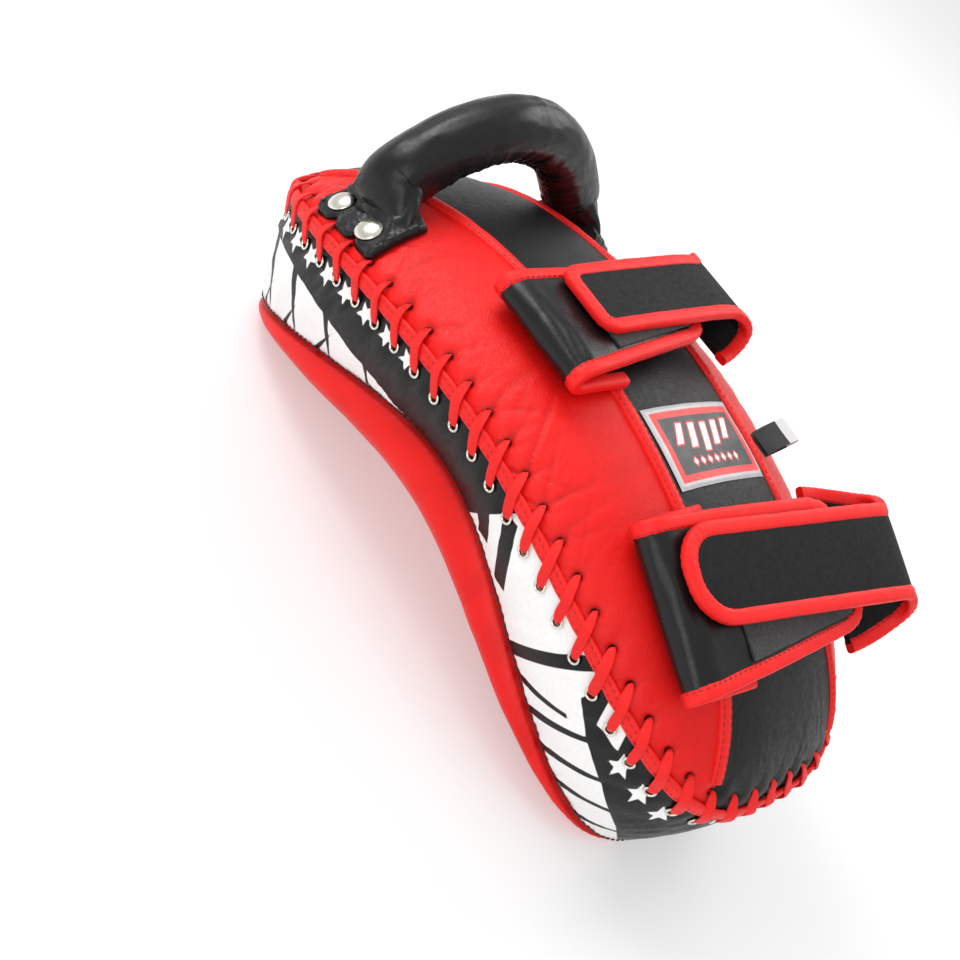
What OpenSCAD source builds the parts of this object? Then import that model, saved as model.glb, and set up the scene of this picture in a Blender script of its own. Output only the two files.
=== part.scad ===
// Curved kick pad: a laced, foam-filled leather pad with a grip handle and two forearm cuffs.
// Millimetres. X is the width, +Y the handle end, +Z the side that faces the holder.

/* [Body] */
// Half of the length over the laced edge
half_l = 195; // [185:1:205]
// Half of the width over the laced edge
half_w = 103; // [98:1:106]
// Half of the length over the strike seam
seam_l = 177; // [170:1:180]
// Half of the width over the strike seam
seam_w = 90; // [86:1:94]
// Squareness of the plan outline
plan_n = 3.3; // [2.8:0.1:3.6]
// Height of the laced edge above the floor at mid length
lace_mid_z = 111.5; // [112:0.5:116]
// How far the laced edge drops from mid length to its ends
lace_drop = 46; // [40:1:48]
// How far the strike seam drops from mid length to its ends
seam_drop = 74; // [68:1:76]
// Depth of the side wall at mid length
wall_mid = 36; // [32:1:38]
// Height of the crowned back above the laced edge
crown = 38; // [34:1:42]
// Depth of the strike cushion below its seam at mid length
strike_mid = 38; // [34:1:40]
// Depth of the strike cushion below its seam at the ends
strike_end = 11; // [10:1:12]
// Thickness of the leather with its lining
skin = 2.5; // [2:0.5:3]

/* [Back strip] */
// Half of the width of the middle strip at mid length
strip_mid = 43; // [40:1:45]
// How much wider each side of the strip is at the ends
strip_flare = 14; // [10:1:16]
// Width of the piping over each strip seam
piping_w = 7; // [6:0.5:8]

/* [Lacing] */
// Number of lace stitches round the pad
stitches = 62; // [56:2:64]
// Distance in plan from the edge to the lace holes in the back
hole_inset = 3.2; // [3:0.1:4]
// Distance down the side wall from the edge to the lace eyelets
eyelet_drop = 11; // [10:0.5:12]
// Width of the flat lace
lace_w = 4.6; // [4:0.2:5]
// Width of the binding on the laced edge
edge_w = 7; // [6:0.5:8]

/* [Handle] */
// Outside diameter of the padded handle
handle_d = 33; // [31:1:34]
// Half of the span between the handle's roots
handle_a = 78; // [76:1:80]
// Height of the handle's middle above its roots
handle_h = 45; // [43:1:48]
// Distance of the handle from the middle of the pad
handle_y = 129; // [127:1:131]
// How much the handle's radius narrows towards its roots
handle_neck = 4.5; // [4:0.25:5]
// Diameter of the domed rivets
rivet_d = 14; // [12:1:15]

/* [Cuffs] */
// Thickness of the cuff straps
strap_t = 4; // [3.5:0.5:4]
// Width of the cuff bindings
binding_w = 6; // [5:0.5:6.5]

/* [Hidden] */

red = "#d5181c";
black = "#1d1f21";
white = "#eeeeee";
nickel = "#b9b6a8";
foam_grey = "#8d9297";
$fn = 48;

lace_bend = 1.9;         // power of the laced edge's curve along the length
seam_flat = 0.3;         // share of the length over which the seam and the cushion turn at mid length
crown_side = 2.3;        // power of the crown across the width
crown_end = 5;           // power of the crown along the length
wall_bulge = 4;          // how far the side wall bulges at half depth
foam_gap = 0.8;          // clearance between the foam and the leather
foam_inset = skin + foam_gap;
around = 56;             // points round the pad
strike_rings = 7;        // rings from the strike seam to the middle

// ---- Lists, meshes and sweeps ----

function flat(lists) = [for (l = lists) for (p = l) p];
function mix(a, b, f) = a + (b - a) * f;
function unit(v) = v / norm(v);

// Two triangles for one four-sided cell
function cell(a, b, c, d, flip) = flip ? [[a, c, b], [a, d, c]] : [[a, b, c], [a, c, d]];

// Closed body from rings of points, each end drawn in to one point
module ring_stack(rings, first, last, flip = false) {
  n = len(rings[0]);
  m = len(rings);
  end = 1 + m * n;
  starts = [for (i = [0:n - 1]) let (j = (i + 1) % n) flip ? [0, 1 + j, 1 + i] : [0, 1 + i, 1 + j]];
  sides = [for (r = [0:m - 2]) for (i = [0:n - 1]) let (j = (i + 1) % n, a = 1 + r * n, b = a + n)
    each cell(a + i, b + i, b + j, a + j, flip)];
  ends = [for (i = [0:n - 1]) let (j = (i + 1) % n, a = 1 + (m - 1) * n)
    flip ? [end, a + i, a + j] : [end, a + j, a + i]];
  polyhedron(concat([first], flat(rings), [last]), concat(starts, sides, ends), 4);
}

// Closed body between two grids of points that face each other
module sheet(outer, inner, flip = false) {
  m = len(outer);
  n = len(outer[0]);
  k = m * n;
  over = [for (r = [0:m - 2]) for (i = [0:n - 2]) let (a = r * n + i)
    each cell(a, a + n, a + n + 1, a + 1, flip)];
  under = [for (r = [0:m - 2]) for (i = [0:n - 2]) let (a = k + r * n + i)
    each cell(a, a + 1, a + n + 1, a + n, flip)];
  left = [for (r = [0:m - 2]) let (a = r * n) each cell(a, a + k, a + k + n, a + n, flip)];
  right = [for (r = [0:m - 2]) let (a = r * n + n - 1) each cell(a, a + n, a + k + n, a + k, flip)];
  front = [for (i = [0:n - 2]) each cell(i, i + 1, i + 1 + k, i + k, flip)];
  back = [for (i = [0:n - 2]) let (a = (m - 1) * n + i) each cell(a, a + k, a + 1 + k, a + 1, flip)];
  polyhedron(concat(flat(outer), flat(inner)), concat(over, under, left, right, front, back), 4);
}

// Section of a strip, oval or four-cornered, square to its path and lying along the normal
function section(p, along, normal, wide, thick, sides) =
  let (b = unit(cross(along, normal)), n = unit(cross(b, along)), turn = 180 / sides,
    angles = [for (i = [0:sides - 1]) 360 * i / sides + turn], top = max([for (a = angles) sin(a)]))
  [for (a = angles) p + b * cos(a) / cos(turn) * wide / 2 + n * sin(a) / top * thick / 2];

// Strip swept along a path, from end to end
module strip(path, normals, wide, thick, sides) {
  m = len(path);
  rings = [for (i = [0:m - 1])
    section(path[i], path[min(i + 1, m - 1)] - path[max(i - 1, 0)], normals[i], wide, thick, sides)];
  ring_stack(rings, path[0], path[m - 1], true);
}

// Strip swept round a closed path
module hoop(path, normals, wide, thick, sides) {
  m = len(path);
  points = [for (i = [0:m - 1])
    each section(path[i], path[(i + 1) % m] - path[(i + m - 1) % m], normals[i], wide, thick, sides)];
  faces = [for (r = [0:m - 1]) for (i = [0:sides - 1])
    let (j = (i + 1) % sides, a = r * sides, b = ((r + 1) % m) * sides)
    each cell(a + i, b + i, b + j, a + j, true)];
  polyhedron(points, faces, 4);
}

// Smooth curve through a list of points
function spline_at(points, u) =
  let (last = len(points) - 1, i = min(floor(u * last), last - 1), f = u * last - i,
    p = [for (k = [-1:2]) points[min(max(i + k, 0), last)]])
  0.5 * (2 * p[1] + (p[2] - p[0]) * f + (2 * p[0] - 5 * p[1] + 4 * p[2] - p[3]) * f * f
    + (3 * p[1] - p[0] - 3 * p[2] + p[3]) * f * f * f);

// Turns +Z to the direction n at the point p
module aim(p, n) {
  translate(p) rotate([0, acos(n.z / norm(n)), atan2(n.y, n.x)]) children();
}

// ---- The pad's surfaces ----

function reach(a) = pow(pow(abs(cos(a)), plan_n) + pow(abs(sin(a)), plan_n), -1 / plan_n);
function outline(a, l, w) = [w * reach(a) * cos(a), l * reach(a) * sin(a)];

// Angle that lies a given share of the way round the laced edge, starting at +X
arc_steps = 360;
function arc_step(i) = norm(outline(i + 1, half_l, half_w) - outline(i, half_l, half_w));
arc_table = [for (i = 0, s = 0; i <= arc_steps; s = s + arc_step(i), i = i + 1) [s, i]];
function angle_at(share) = lookup(share * arc_table[arc_steps][0], arc_table);

function lace_z(y) = lace_mid_z - lace_drop * pow(abs(y) / half_l, lace_bend);
// Share of the way from mid length, at 0, to the end, at 1, with a smooth turn at mid length
function turned(q, c) = (sqrt(q * q + c * c) - c) / (sqrt(1 + c * c) - c);
function seam_z(y) = lace_mid_z - wall_mid - seam_drop * turned(y / seam_l, seam_flat);
function half_width(y, o) = (half_w - o) * pow(max(0, 1 - pow(abs(y) / (half_l - o), plan_n)), 1 / plan_n);
function strip_half(y) = strip_mid + strip_flare * pow(abs(y) / half_l, 3);

// Height of the back at x, y, for the surface that lies o under the leather's outside
function back_z(x, y, o = 0) =
  let (hw = max(half_width(y, o), 0.01),
    side = pow(max(0, 1 - pow(min(1, abs(x) / hw), crown_side)), 0.6),
    end = pow(max(0, 1 - pow(min(1, abs(y) / (half_l - o)), crown_end)), 0.5))
  lace_z(y) - o + crown * side * end;
function back_point(x, y, lift = 0) = [x, y, back_z(x, y)] + lift * back_normal(x, y);
function back_normal(x, y) =
  let (e = 1, dx = (back_z(x + e, y) - back_z(x - e, y)) / 2, dy = (back_z(x, y + e) - back_z(x, y - e)) / 2)
  unit([-dx, -dy, 1]);

// Side wall: v runs from 0 at the laced edge to 1 at the strike seam
function wall_point(a, v, o = 0) =
  let (top = outline(a, half_l - o, half_w - o), foot = outline(a, seam_l - o, seam_w - o),
    out = unit([cos(a) / half_w, sin(a) / half_l]) * wall_bulge * sin(180 * v), p = mix(top, foot, v) + out)
  [p.x, p.y, mix(lace_z(top.y), seam_z(foot.y), v)];
function wall_normal(a, v) =
  unit(cross(wall_point(a + 1, v) - wall_point(a - 1, v), wall_point(a, v - 0.02) - wall_point(a, v + 0.02)));

// Strike cushion: b runs from 0 degrees at the seam to 90 in the middle
function strike_point(a, b, o, bulge) =
  let (p = outline(a, seam_l - o, seam_w - o), q = min(1, abs(p.y) / seam_l),
    f = p * pow(cos(b), 0.45) * (1 + bulge * (1 - q * q) * sin(2 * b)),
    deep = mix(strike_mid, strike_end, turned(f.y / seam_l, seam_flat)) - o)
  [f.x, f.y, max(seam_z(f.y) - deep * pow(sin(b), 0.9), o)];

function ring_angles(n) = [for (i = [0:n - 1]) angle_at(i / n)];
function strike_rows(o, n, rings, bulge) =
  [for (k = [rings - 1:-1:0]) [for (a = ring_angles(n)) strike_point(a, 90 * k / rings, o, bulge)]];
function wall_rows(v0, v1, o, n, rows) =
  [for (k = [0:rows]) [for (a = ring_angles(n)) wall_point(a, mix(v0, v1, k / rows), o)]];
function back_rows(o, n, rings) = [for (k = [0:rings - 1])
  [for (a = ring_angles(n)) let (p = outline(a, half_l - o, half_w - o) * cos(90 * k / rings))
    [p.x, p.y, back_z(p.x, p.y, o)]]];

// Level surface inside the pad at a share v of the wall's depth
function inner_point(a, v, o, f) = let (p = wall_point(a, v, o) * f)
  [p.x, p.y, mix(lace_z(p.x == 0 && p.y == 0 ? 0 : p.y), seam_z(p.y), v)];
function inner_rows(v, o, n, shares) = [for (f = shares) [for (a = ring_angles(n)) inner_point(a, v, o, f)]];
function inner_middle(v) = [0, 0, mix(lace_z(0), seam_z(0), v)];

// ---- Leather and foam ----

strike_bulge = 0.14;     // how far the strike cushion swells past its seam, as a share of its reach
foam_bulge = 0.07;       // the same for the foam behind it
function strike_middle(o) = [0, 0, strike_point(0, 90, o, 0).z];

module strike_face() {
  outer = strike_rows(0, around, strike_rings, strike_bulge);
  inner = strike_rows(skin, around, strike_rings, strike_bulge);
  color(red) ring_stack(concat(outer, [for (k = [strike_rings - 1:-1:0]) inner[k]]),
    strike_middle(0), strike_middle(skin));
}

strike_split = 0.94;     // share of the wall's depth where the strike foam ends
core_split = 0.45;       // share of the wall's depth where the core foam ends
split_gap = 0.03;        // clearance between the foam layers, as a share of the depth
strike_inset = foam_inset + 1.1;  // clearance round the strike foam, where the face turns most
foam_around = 40;        // points round the foam layers

module strike_foam() {
  color(foam_grey) ring_stack(
    concat(strike_rows(strike_inset, around, strike_rings, foam_bulge),
      inner_rows(strike_split, strike_inset, around, [1, 0.6])),
    strike_middle(strike_inset), inner_middle(strike_split));
}

module foam_layer(v0, v1) {
  color(foam_grey) ring_stack(
    concat(inner_rows(v0, foam_inset, foam_around, [0.6, 1]),
      inner_rows(v1, foam_inset, foam_around, [1, 0.6])),
    inner_middle(v0), inner_middle(v1));
}

module core_foam() {
  foam_layer(strike_split - split_gap, core_split);
}

module backing_foam() {
  low = core_split - split_gap;
  inset = foam_inset + 0.4;
  color(foam_grey) ring_stack(
    concat(inner_rows(low, inset, foam_around, [0.6, 1]), back_rows(inset, foam_around, 6)),
    inner_middle(low), [0, 0, back_z(0, 0, inset)]);
}

// Share of the side wall's depth that lies a given distance down it
function down_wall(a, distance) = distance / norm(wall_point(a, 0) - wall_point(a, 1));

vent_x = 40;             // distance of each vent from the end seam
vent_d = 12.5;           // open diameter of a vent
vent_rim = 20;           // outside diameter of a vent's grommet
vent_v = 0.48;           // depth of the vents, as a share of the wall
function vent_angle(side) = atan2(half_w, side * vent_x);
function vent_at(side) = wall_point(vent_angle(side), vent_v);
function vent_normal(side) = wall_normal(vent_angle(side), vent_v);

// Half of the side wall, from the seam at one end to the seam at the other
module gusset(side) {
  steps = 30;
  rows = 4;
  start = side < 0 ? 0.25 : 0.75;
  angles = [for (i = [0:steps]) angle_at((start + 0.5 * i / steps) % 1)];
  function row(a, o) = [for (k = [0:rows]) wall_point(a, mix(down_wall(a, skin + 0.5), 1, k / rows), o)];
  color(black) difference() {
    sheet([for (a = angles) row(a, 0)], [for (a = angles) row(a, skin)]);
    aim(vent_at(side), vent_normal(side)) cylinder(d = vent_d + 1, h = 14, center = true);
  }
}

module gusset_left() {
  gusset(-1);
}

module gusset_right() {
  gusset(1);
}

strip_end = half_l - 0.6;    // where the middle strip stops, just inside the outline
side_end = 0.957 * half_l;   // where the side panels meet the laced edge
function eased_rows(reach, n) = [for (i = [0:n]) reach * sin(90 * (2 * i / n - 1))];
function panel_row(y, x0, x1, o, cols, ease) =
  [for (c = [0:cols]) let (f = c / cols, x = mix(x0, x1, ease ? sin(90 * f) : f)) [x, y, back_z(x, y, o)]];

module back_panel(side) {
  rows = eased_rows(side_end, 22);
  function edge(y, o) = max(half_width(y, o), strip_half(y) + 0.3);
  function inner_edge(y, i) = max(half_width(i, skin), strip_half(y) + 0.2);
  color(red) sheet(
    [for (y = rows) panel_row(y, side * strip_half(y), side * edge(y, 0), 0, 6, true)],
    [for (y = rows) let (i = y * (half_l - skin) / half_l)
      panel_row(i, side * strip_half(y), side * inner_edge(y, i), skin, 6, true)],
    side < 0);
}

module back_panel_left() {
  back_panel(-1);
}

module back_panel_right() {
  back_panel(1);
}

module back_panel_centre() {
  rows = eased_rows(strip_end, 26);
  function edge(y, o) = min(half_width(y, o), strip_half(y)) - 0.1;
  color(black) sheet(
    [for (y = rows) panel_row(y, -edge(y, 0), edge(y, 0), 0, 4, false)],
    [for (y = rows) let (i = y * (half_l - skin - 0.6) / half_l)
      panel_row(i, -edge(i, skin), edge(i, skin), skin, 4, false)]);
}

piping_end = 0.93 * half_l;
module panel_piping(side) {
  rows = eased_rows(piping_end, 26);
  color(red) strip([for (y = rows) back_point(side * strip_half(y), y, 1)],
    [for (y = rows) back_normal(side * strip_half(y), y)], piping_w, 1.6, 4);
}

module panel_piping_left() {
  panel_piping(-1);
}

module panel_piping_right() {
  panel_piping(1);
}

// ---- Laced edge ----

function edge_normal(a) = unit([cos(a) / half_w, sin(a) / half_l, 0.012]);
function edge_point(a, lift) = wall_point(a, 0) + lift * edge_normal(a);

module edge_binding() {
  angles = ring_angles(around);
  color(red) hoop([for (a = angles) edge_point(a, 1.2)], [for (a = angles) edge_normal(a)], edge_w, 3, 6);
}

// Point over a lace hole in the back
function hole_point(a, lift) =
  let (p = outline(a, half_l, half_w) - hole_inset * unit([cos(a) / half_w, sin(a) / half_l]))
  back_point(p.x, p.y, lift);
function eyelet_point(a, lift) =
  let (v = down_wall(a, eyelet_drop)) wall_point(a, v) + lift * wall_normal(a, v);

// One turn of the lace: out of a hole, over the binding, in at an eyelet, and up inside to the next hole
lace_inside = 5;         // how deep the lace runs under the leather
function stitch(i) =
  let (a0 = angle_at(i / stitches), a1 = angle_at((i + 0.3) / stitches), a2 = angle_at((i + 0.6) / stitches),
    a3 = angle_at((i + 0.8) / stitches), a4 = angle_at(((i + 1) % stitches) / stitches))
  [hole_point(a0, 0.9), edge_point(a1, 3.6), eyelet_point(a2, 0.9), eyelet_point(a3, -lace_inside),
    hole_point(a4, -lace_inside)];

module lace() {
  path = [for (i = [0:stitches - 1]) each stitch(i)];
  n = len(path);
  function along(i) = path[(i + 1) % n] - path[(i + n - 1) % n];
  function edge_way(i) = let (a = angle_at(i / n)) edge_point(a + 1, 0) - edge_point(a - 1, 0);
  color(red) hoop(path, [for (i = [0:n - 1]) cross(edge_way(i), along(i))], lace_w, 1.3, 4);
}

module lace_eyelets() {
  for (i = [0:stitches - 1]) {
    a = angle_at((i + 0.6) / stitches);
    color(nickel) aim(eyelet_point(a, 0), wall_normal(a, down_wall(a, eyelet_drop)))
      rotate_extrude($fn = 16) translate([2.2, 0.2]) square([1.1, 0.9]);
  }
}

// ---- Vents ----

module vent_grommets() {
  for (side = [-1, 1])
    color(nickel) aim(vent_at(side), vent_normal(side)) rotate_extrude() {
      translate([vent_d / 2, -4]) square([0.5, 5]);
      translate([vent_d / 2, 0.4]) square([(vent_rim - vent_d) / 2, 1.8]);
    }
}

module vent_meshes() {
  for (side = [-1, 1])
    color(black) aim(vent_at(side), vent_normal(side))
      translate([0, 0, -3]) cylinder(d = vent_d - 0.4, h = 1);
}

// ---- Handle ----

handle_z = back_z(handle_a, handle_y) + 10;
handle_lean = 0.21;      // how far the handle leans to the pad's end for each unit of height
handle_rise = 1.9;       // power of the handle's rise, higher for flatter roots
handle_from = 26;        // angle along the arch at which the round bar starts
tab_l = 46;              // length of a handle tab along the pad
tab_y = 124;             // where the middle of a handle tab lies
tab_t = 3.5;             // thickness of a handle tab
rivet_pitch = 26;        // distance along the pad between the two rivets of a tab
rivet_inset = 9.2;       // distance in plan from the laced edge to the rivets
function handle_path(a) = [-handle_a * cos(a), handle_y + handle_lean * handle_h * sin(a),
  handle_z + handle_h * pow(sin(a), handle_rise)];

// Round bar along the handle, with rounded ends that are narrower by neck
module handle_bar(d, sides, steps, neck) {
  angles = [for (i = [0:steps]) mix(handle_from, 180 - handle_from, i / steps)];
  across = unit([0, 1, -handle_lean]);
  function bar_r(i) = d / 2 - neck * pow(max(0, 1 - min(i, steps - i) / steps * 5), 2);
  end_r = bar_r(0);
  centres = [for (a = angles) handle_path(a)];
  tip = unit(centres[0] - centres[1]);
  tail = unit(centres[steps] - centres[steps - 1]);
  round = [80, 50, 25];
  function ring(p, t, r) = let (n = unit(cross(t, across)))
    [for (k = [0:sides - 1]) let (g = 360 * k / sides) p + r * (cos(g) * n + sin(g) * across)];
  function along(i) = centres[min(i + 1, steps)] - centres[max(i - 1, 0)];
  rings = concat(
    [for (g = round) ring(centres[0] + tip * sin(g) * end_r, -tip, cos(g) * end_r)],
    [for (i = [0:steps]) ring(centres[i], along(i), bar_r(i))],
    [for (k = [2:-1:0]) let (g = round[k])
      ring(centres[steps] + tail * sin(g) * end_r, tail, cos(g) * end_r)]);
  ring_stack(rings, centres[0] + tip * end_r, centres[steps] + tail * end_r, true);
}

handle_wall = 1.8;
rope_d = 12;
module handle_cover() {
  color(black) difference() {
    handle_bar(handle_d, 16, 20, handle_neck);
    handle_bar(handle_d - 2 * handle_wall, 12, 20, handle_neck);
  }
}

module handle_padding() {
  color(foam_grey) difference() {
    handle_bar(handle_d - 2 * handle_wall - 1.6, 12, 20, handle_neck);
    handle_bar(rope_d + 1, 8, 20, 0);
  }
}

module handle_core() {
  color(white) handle_bar(rope_d, 8, 20, 0);
}

// Flat leather tab that is laced and riveted to a side panel
module handle_tab(side) {
  rows = [for (i = [0:6]) tab_y + tab_l * (i / 6 - 0.5)];
  function row(y, lift) = [for (c = [0:5])
    let (x = side * mix(70, half_width(y, 0) - 3, c / 5)) back_point(x, y, lift)];
  color(black) sheet([for (y = rows) row(y, 0.3 + tab_t)], [for (y = rows) row(y, 0.3)], side < 0);
}

module handle_tab_left() {
  handle_tab(-1);
}

module handle_tab_right() {
  handle_tab(1);
}

module at_rivets() {
  for (side = [-1, 1], end = [-0.5, 0.5]) {
    y = tab_y + 2 + end * rivet_pitch;
    x = side * (half_width(y, 0) - rivet_inset);
    aim(back_point(x, y), back_normal(x, y)) children();
  }
}

module handle_rivets() {
  color(nickel) at_rivets() rotate_extrude() {
    translate([0, tab_t + 0.3]) square([rivet_d / 2, 0.8]);
    intersection() {
      translate([0, tab_t - 6.4]) circle(r = 9.8);
      translate([0, tab_t + 1]) square([rivet_d / 2, 4]);
    }
    translate([0, -skin - 1.5]) square([1.8, tab_t + skin + 2.2]);
  }
}

module rivet_washers() {
  color(nickel) at_rivets() rotate_extrude() translate([1.9, -skin - 0.7]) square([3.6, 0.6]);
}

// ---- Label and side tag ----

label_w = 74;            // width of the label patch
label_y = [-68, -26];    // where the label patch starts and ends
module label_patch() {
  rows = [for (i = [0:5]) mix(label_y[0], label_y[1], i / 5)];
  function row(y, lift) = [for (c = [0:8]) back_point(label_w * (c / 8 - 0.5), y, lift)];
  color(black) sheet([for (y = rows) row(y, 1)], [for (y = rows) row(y, 0.3)]);
}

tag_y = -52;
module side_tag() {
  p = back_point(strip_half(tag_y) + 4, tag_y, 4);
  color(white) translate(p) rotate([0, -22, 0]) rotate([-90, 0, 0]) linear_extrude(14, center = true)
    difference() {
      translate([10, 0]) square([22, 5], center = true);
      translate([8, 0]) square([22, 2.4], center = true);
    }
}

// ---- Cuffs ----
// A cuff's lines are lists of [x, height], where height is taken from the crown under the cuff.
// Each cuff holds its place along the pad, its near, far and tongue lines, their half widths at both ends,
// and how the far strap shifts along the pad: at the middle, and for each unit of x.

upper = [19,
  [[-41, 0.5], [-58, -1], [-74, -3], [-77.5, 2], [-72, 6.5], [-54, 9.5], [-28, 13], [0, 15.5], [24, 16.5]],
  [[47, 4.5], [54, 7.5], [59.5, 13], [60, 19], [55, 24], [47.5, 25.6]],
  [[45.5, 25.8], [30, 25.4], [8, 23.2], [-16, 20.8], [-36, 18.4], [-54, 16]],
  [33, 20], [32, 20], 19.5, [4.5, 0]];
lower = [-117,
  [[-41, 0.5], [-60, -2.5], [-78, -8], [-84, -2], [-79, 4], [-60, 8.5], [-32, 14.5], [0, 20.5], [28, 25.5]],
  [[47, 4.5], [57, 8], [66, 15], [70, 23], [68, 31], [60.5, 36.2]],
  [[58, 36.9], [42, 35.6], [14, 30.4], [-14, 24.8], [-44, 18.6], [-80, 11]],
  [41, 30], [41, 23], 22, [3.1, -0.108]];
function near_line(c) = c[1];
function far_line(c) = c[2];
function tongue_line(c) = c[3];
function near_half(c) = c[4];
function far_half(c) = c[5];
function tongue_half(c) = c[6];
function shift(c, line, x) = line == near_line(c) ? 0 : c[7][0] + c[7][1] * x;

function tilt(c) = atan((back_z(0, c[0] + 5) - back_z(0, c[0] - 5)) / 10);
function in_pad(c, x, v, h) = [x, c[0] + v * cos(tilt(c)) - h * sin(tilt(c)),
  back_z(0, c[0]) + v * sin(tilt(c)) + h * cos(tilt(c))];
function up_from(line, u) =
  let (e = 0.01, d = spline_at(line, min(1, u + e)) - spline_at(line, max(0, u - e))) unit([-d.y, d.x]);

// Point on a strap: u along it, v across it, lift along its outward normal
function strap_point(c, line, u, v, lift) =
  let (p = spline_at(line, u) + lift * up_from(line, u)) in_pad(c, p.x, v + shift(c, line, p.x), p.y);
function strap_normal(c, line, u) =
  let (n = up_from(line, u)) in_pad(c, n.x, 0, n.y) - in_pad(c, 0, 0, 0);

function sum(list, i = 0) = i == len(list) ? 0 : list[i] + sum(list, i + 1);

// Half width along a strap, w0 at its root to w1 at its end, with a round end of radius r
function taper(u, w0, w1) = mix(w0, w1, pow(u, 1.5));
function rounded(u, w, r, l) = let (d = max(0, u * l - (l - r))) w - r + sqrt(max(0, r * r - d * d));
function line_length(line) =
  let (n = 20, p = [for (i = [0:n]) spline_at(line, i / n)])
  sum([for (i = [1:n]) norm(p[i] - p[i - 1])]);

// Stations along a strap, closer together towards a round end
function stations(n, round) = [for (i = [0:n]) round ? sin(90 * i / n) : i / n];

// A strap's outline as [u, half width] pairs, drawn in by d from its edges and its round end
function strap_plan(line, w0, w1, r, n, d) =
  let (whole = line_length(line), l = whole - (r > 0 ? d : 0))
  [for (f = stations(n, r > 0)) let (u = f * l / whole, w = taper(u, w0, w1) - d)
    [u, r > 0 ? rounded(f, w, r - d, l) : w]];

module strap(c, line, plan, low, high) {
  color(black) sheet(
    [for (s = plan) [for (v = [-1, 1]) strap_point(c, line, s[0], v * s[1], high)]],
    [for (s = plan) [for (v = [-1, 1]) strap_point(c, line, s[0], v * s[1], low)]], true);
}

// Binding along both edges of a strap, and round its end where closed
module strap_binding(c, line, plan, closed, thick) {
  n = len(plan) - 1;
  function edge(i, side) = strap_point(c, line, plan[i][0], side * plan[i][1], 0);
  normals = [for (s = plan) strap_normal(c, line, s[0])];
  sides = [for (side = [-1, 1]) [for (i = [0:n - (closed ? 1 : 0)]) edge(i, side)]];
  if (closed) {
    back = [for (i = [n - 1:-1:0]) i];
    color(red) strip(concat(sides[0], [edge(n, 0)], [for (i = back) sides[1][i]]),
      concat([for (i = [0:n]) normals[i]], [for (i = back) normals[i]]), binding_w, thick, 6);
  } else {
    color(red) for (s = sides) strip(s, normals, binding_w, thick, 6);
  }
}

near_steps = 18;
far_steps = 10;
tongue_steps = 14;
tongue_t = 3;
tape_t = 0.8;
tape_gap = 0.05;         // clearance between a tape and its strap
near_r = 12;
binding_over = 2;        // how much thicker a binding is than its strap
binding_mid = binding_w / 2 - 1;     // distance from a strap's edge to the middle of its binding
tuck = binding_w - 2.5;              // distance from a strap's edge to where the leather ends in the binding
tape_inset = binding_w + 1;          // distance from a strap's edge to its tape

function near_plan(c, d) = strap_plan(near_line(c), near_half(c)[0], near_half(c)[1], near_r, near_steps, d);
function far_plan(c, d) = strap_plan(far_line(c), far_half(c)[0], far_half(c)[1], 0, far_steps, d);
function tongue_plan(c, d) =
  strap_plan(tongue_line(c), tongue_half(c), tongue_half(c), tongue_half(c) - 3, tongue_steps, d);
function from_share(plan, u) = [for (s = plan) if (s[0] >= u) s];

module near_flap(c) {
  strap(c, near_line(c), near_plan(c, tuck), -strap_t / 2, strap_t / 2);
}

module near_binding(c) {
  strap_binding(c, near_line(c), near_plan(c, binding_mid), true, strap_t + binding_over);
}

module loop_tape(c) {
  plan = from_share(near_plan(c, tape_inset), 0.5);
  strap(c, near_line(c), plan, strap_t / 2 + tape_gap, strap_t / 2 + tape_t);
}

module far_flap(c) {
  strap(c, far_line(c), far_plan(c, tuck), -strap_t / 2, strap_t / 2);
}

module far_binding(c) {
  strap_binding(c, far_line(c), far_plan(c, binding_mid), false, strap_t + binding_over);
}

module tongue(c) {
  strap(c, tongue_line(c), tongue_plan(c, tuck), -tongue_t / 2, tongue_t / 2);
}

module tongue_binding(c) {
  strap_binding(c, tongue_line(c), tongue_plan(c, binding_mid), true, tongue_t + binding_over);
}

module hook_tape(c) {
  plan = from_share(tongue_plan(c, tape_inset), 0.4);
  strap(c, tongue_line(c), plan, tongue_t / 2 + tape_gap, tongue_t / 2 + tape_t);
}

strike_face();
strike_foam();
core_foam();
backing_foam();
gusset_left();
gusset_right();
back_panel_left();
back_panel_centre();
back_panel_right();
panel_piping_left();
panel_piping_right();
edge_binding();
lace();
lace_eyelets();
vent_grommets();
vent_meshes();
handle_cover();
handle_padding();
handle_core();
handle_tab_left();
handle_tab_right();
handle_rivets();
rivet_washers();
label_patch();
side_tag();
near_flap(upper);  // upper_near_flap
near_binding(upper);  // upper_near_binding
loop_tape(upper);  // upper_loop_tape
far_flap(upper);  // upper_far_flap
far_binding(upper);  // upper_far_binding
tongue(upper);  // upper_tongue
tongue_binding(upper);  // upper_tongue_binding
hook_tape(upper);  // upper_hook_tape
near_flap(lower);  // lower_near_flap
near_binding(lower);  // lower_near_binding
loop_tape(lower);  // lower_loop_tape
far_flap(lower);  // lower_far_flap
far_binding(lower);  // lower_far_binding
tongue(lower);  // lower_tongue
tongue_binding(lower);  // lower_tongue_binding
hook_tape(lower);  // lower_hook_tape
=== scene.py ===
import math

import bmesh
import bpy
import numpy as np
from mathutils import Matrix
from mathutils.kdtree import KDTree


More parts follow.
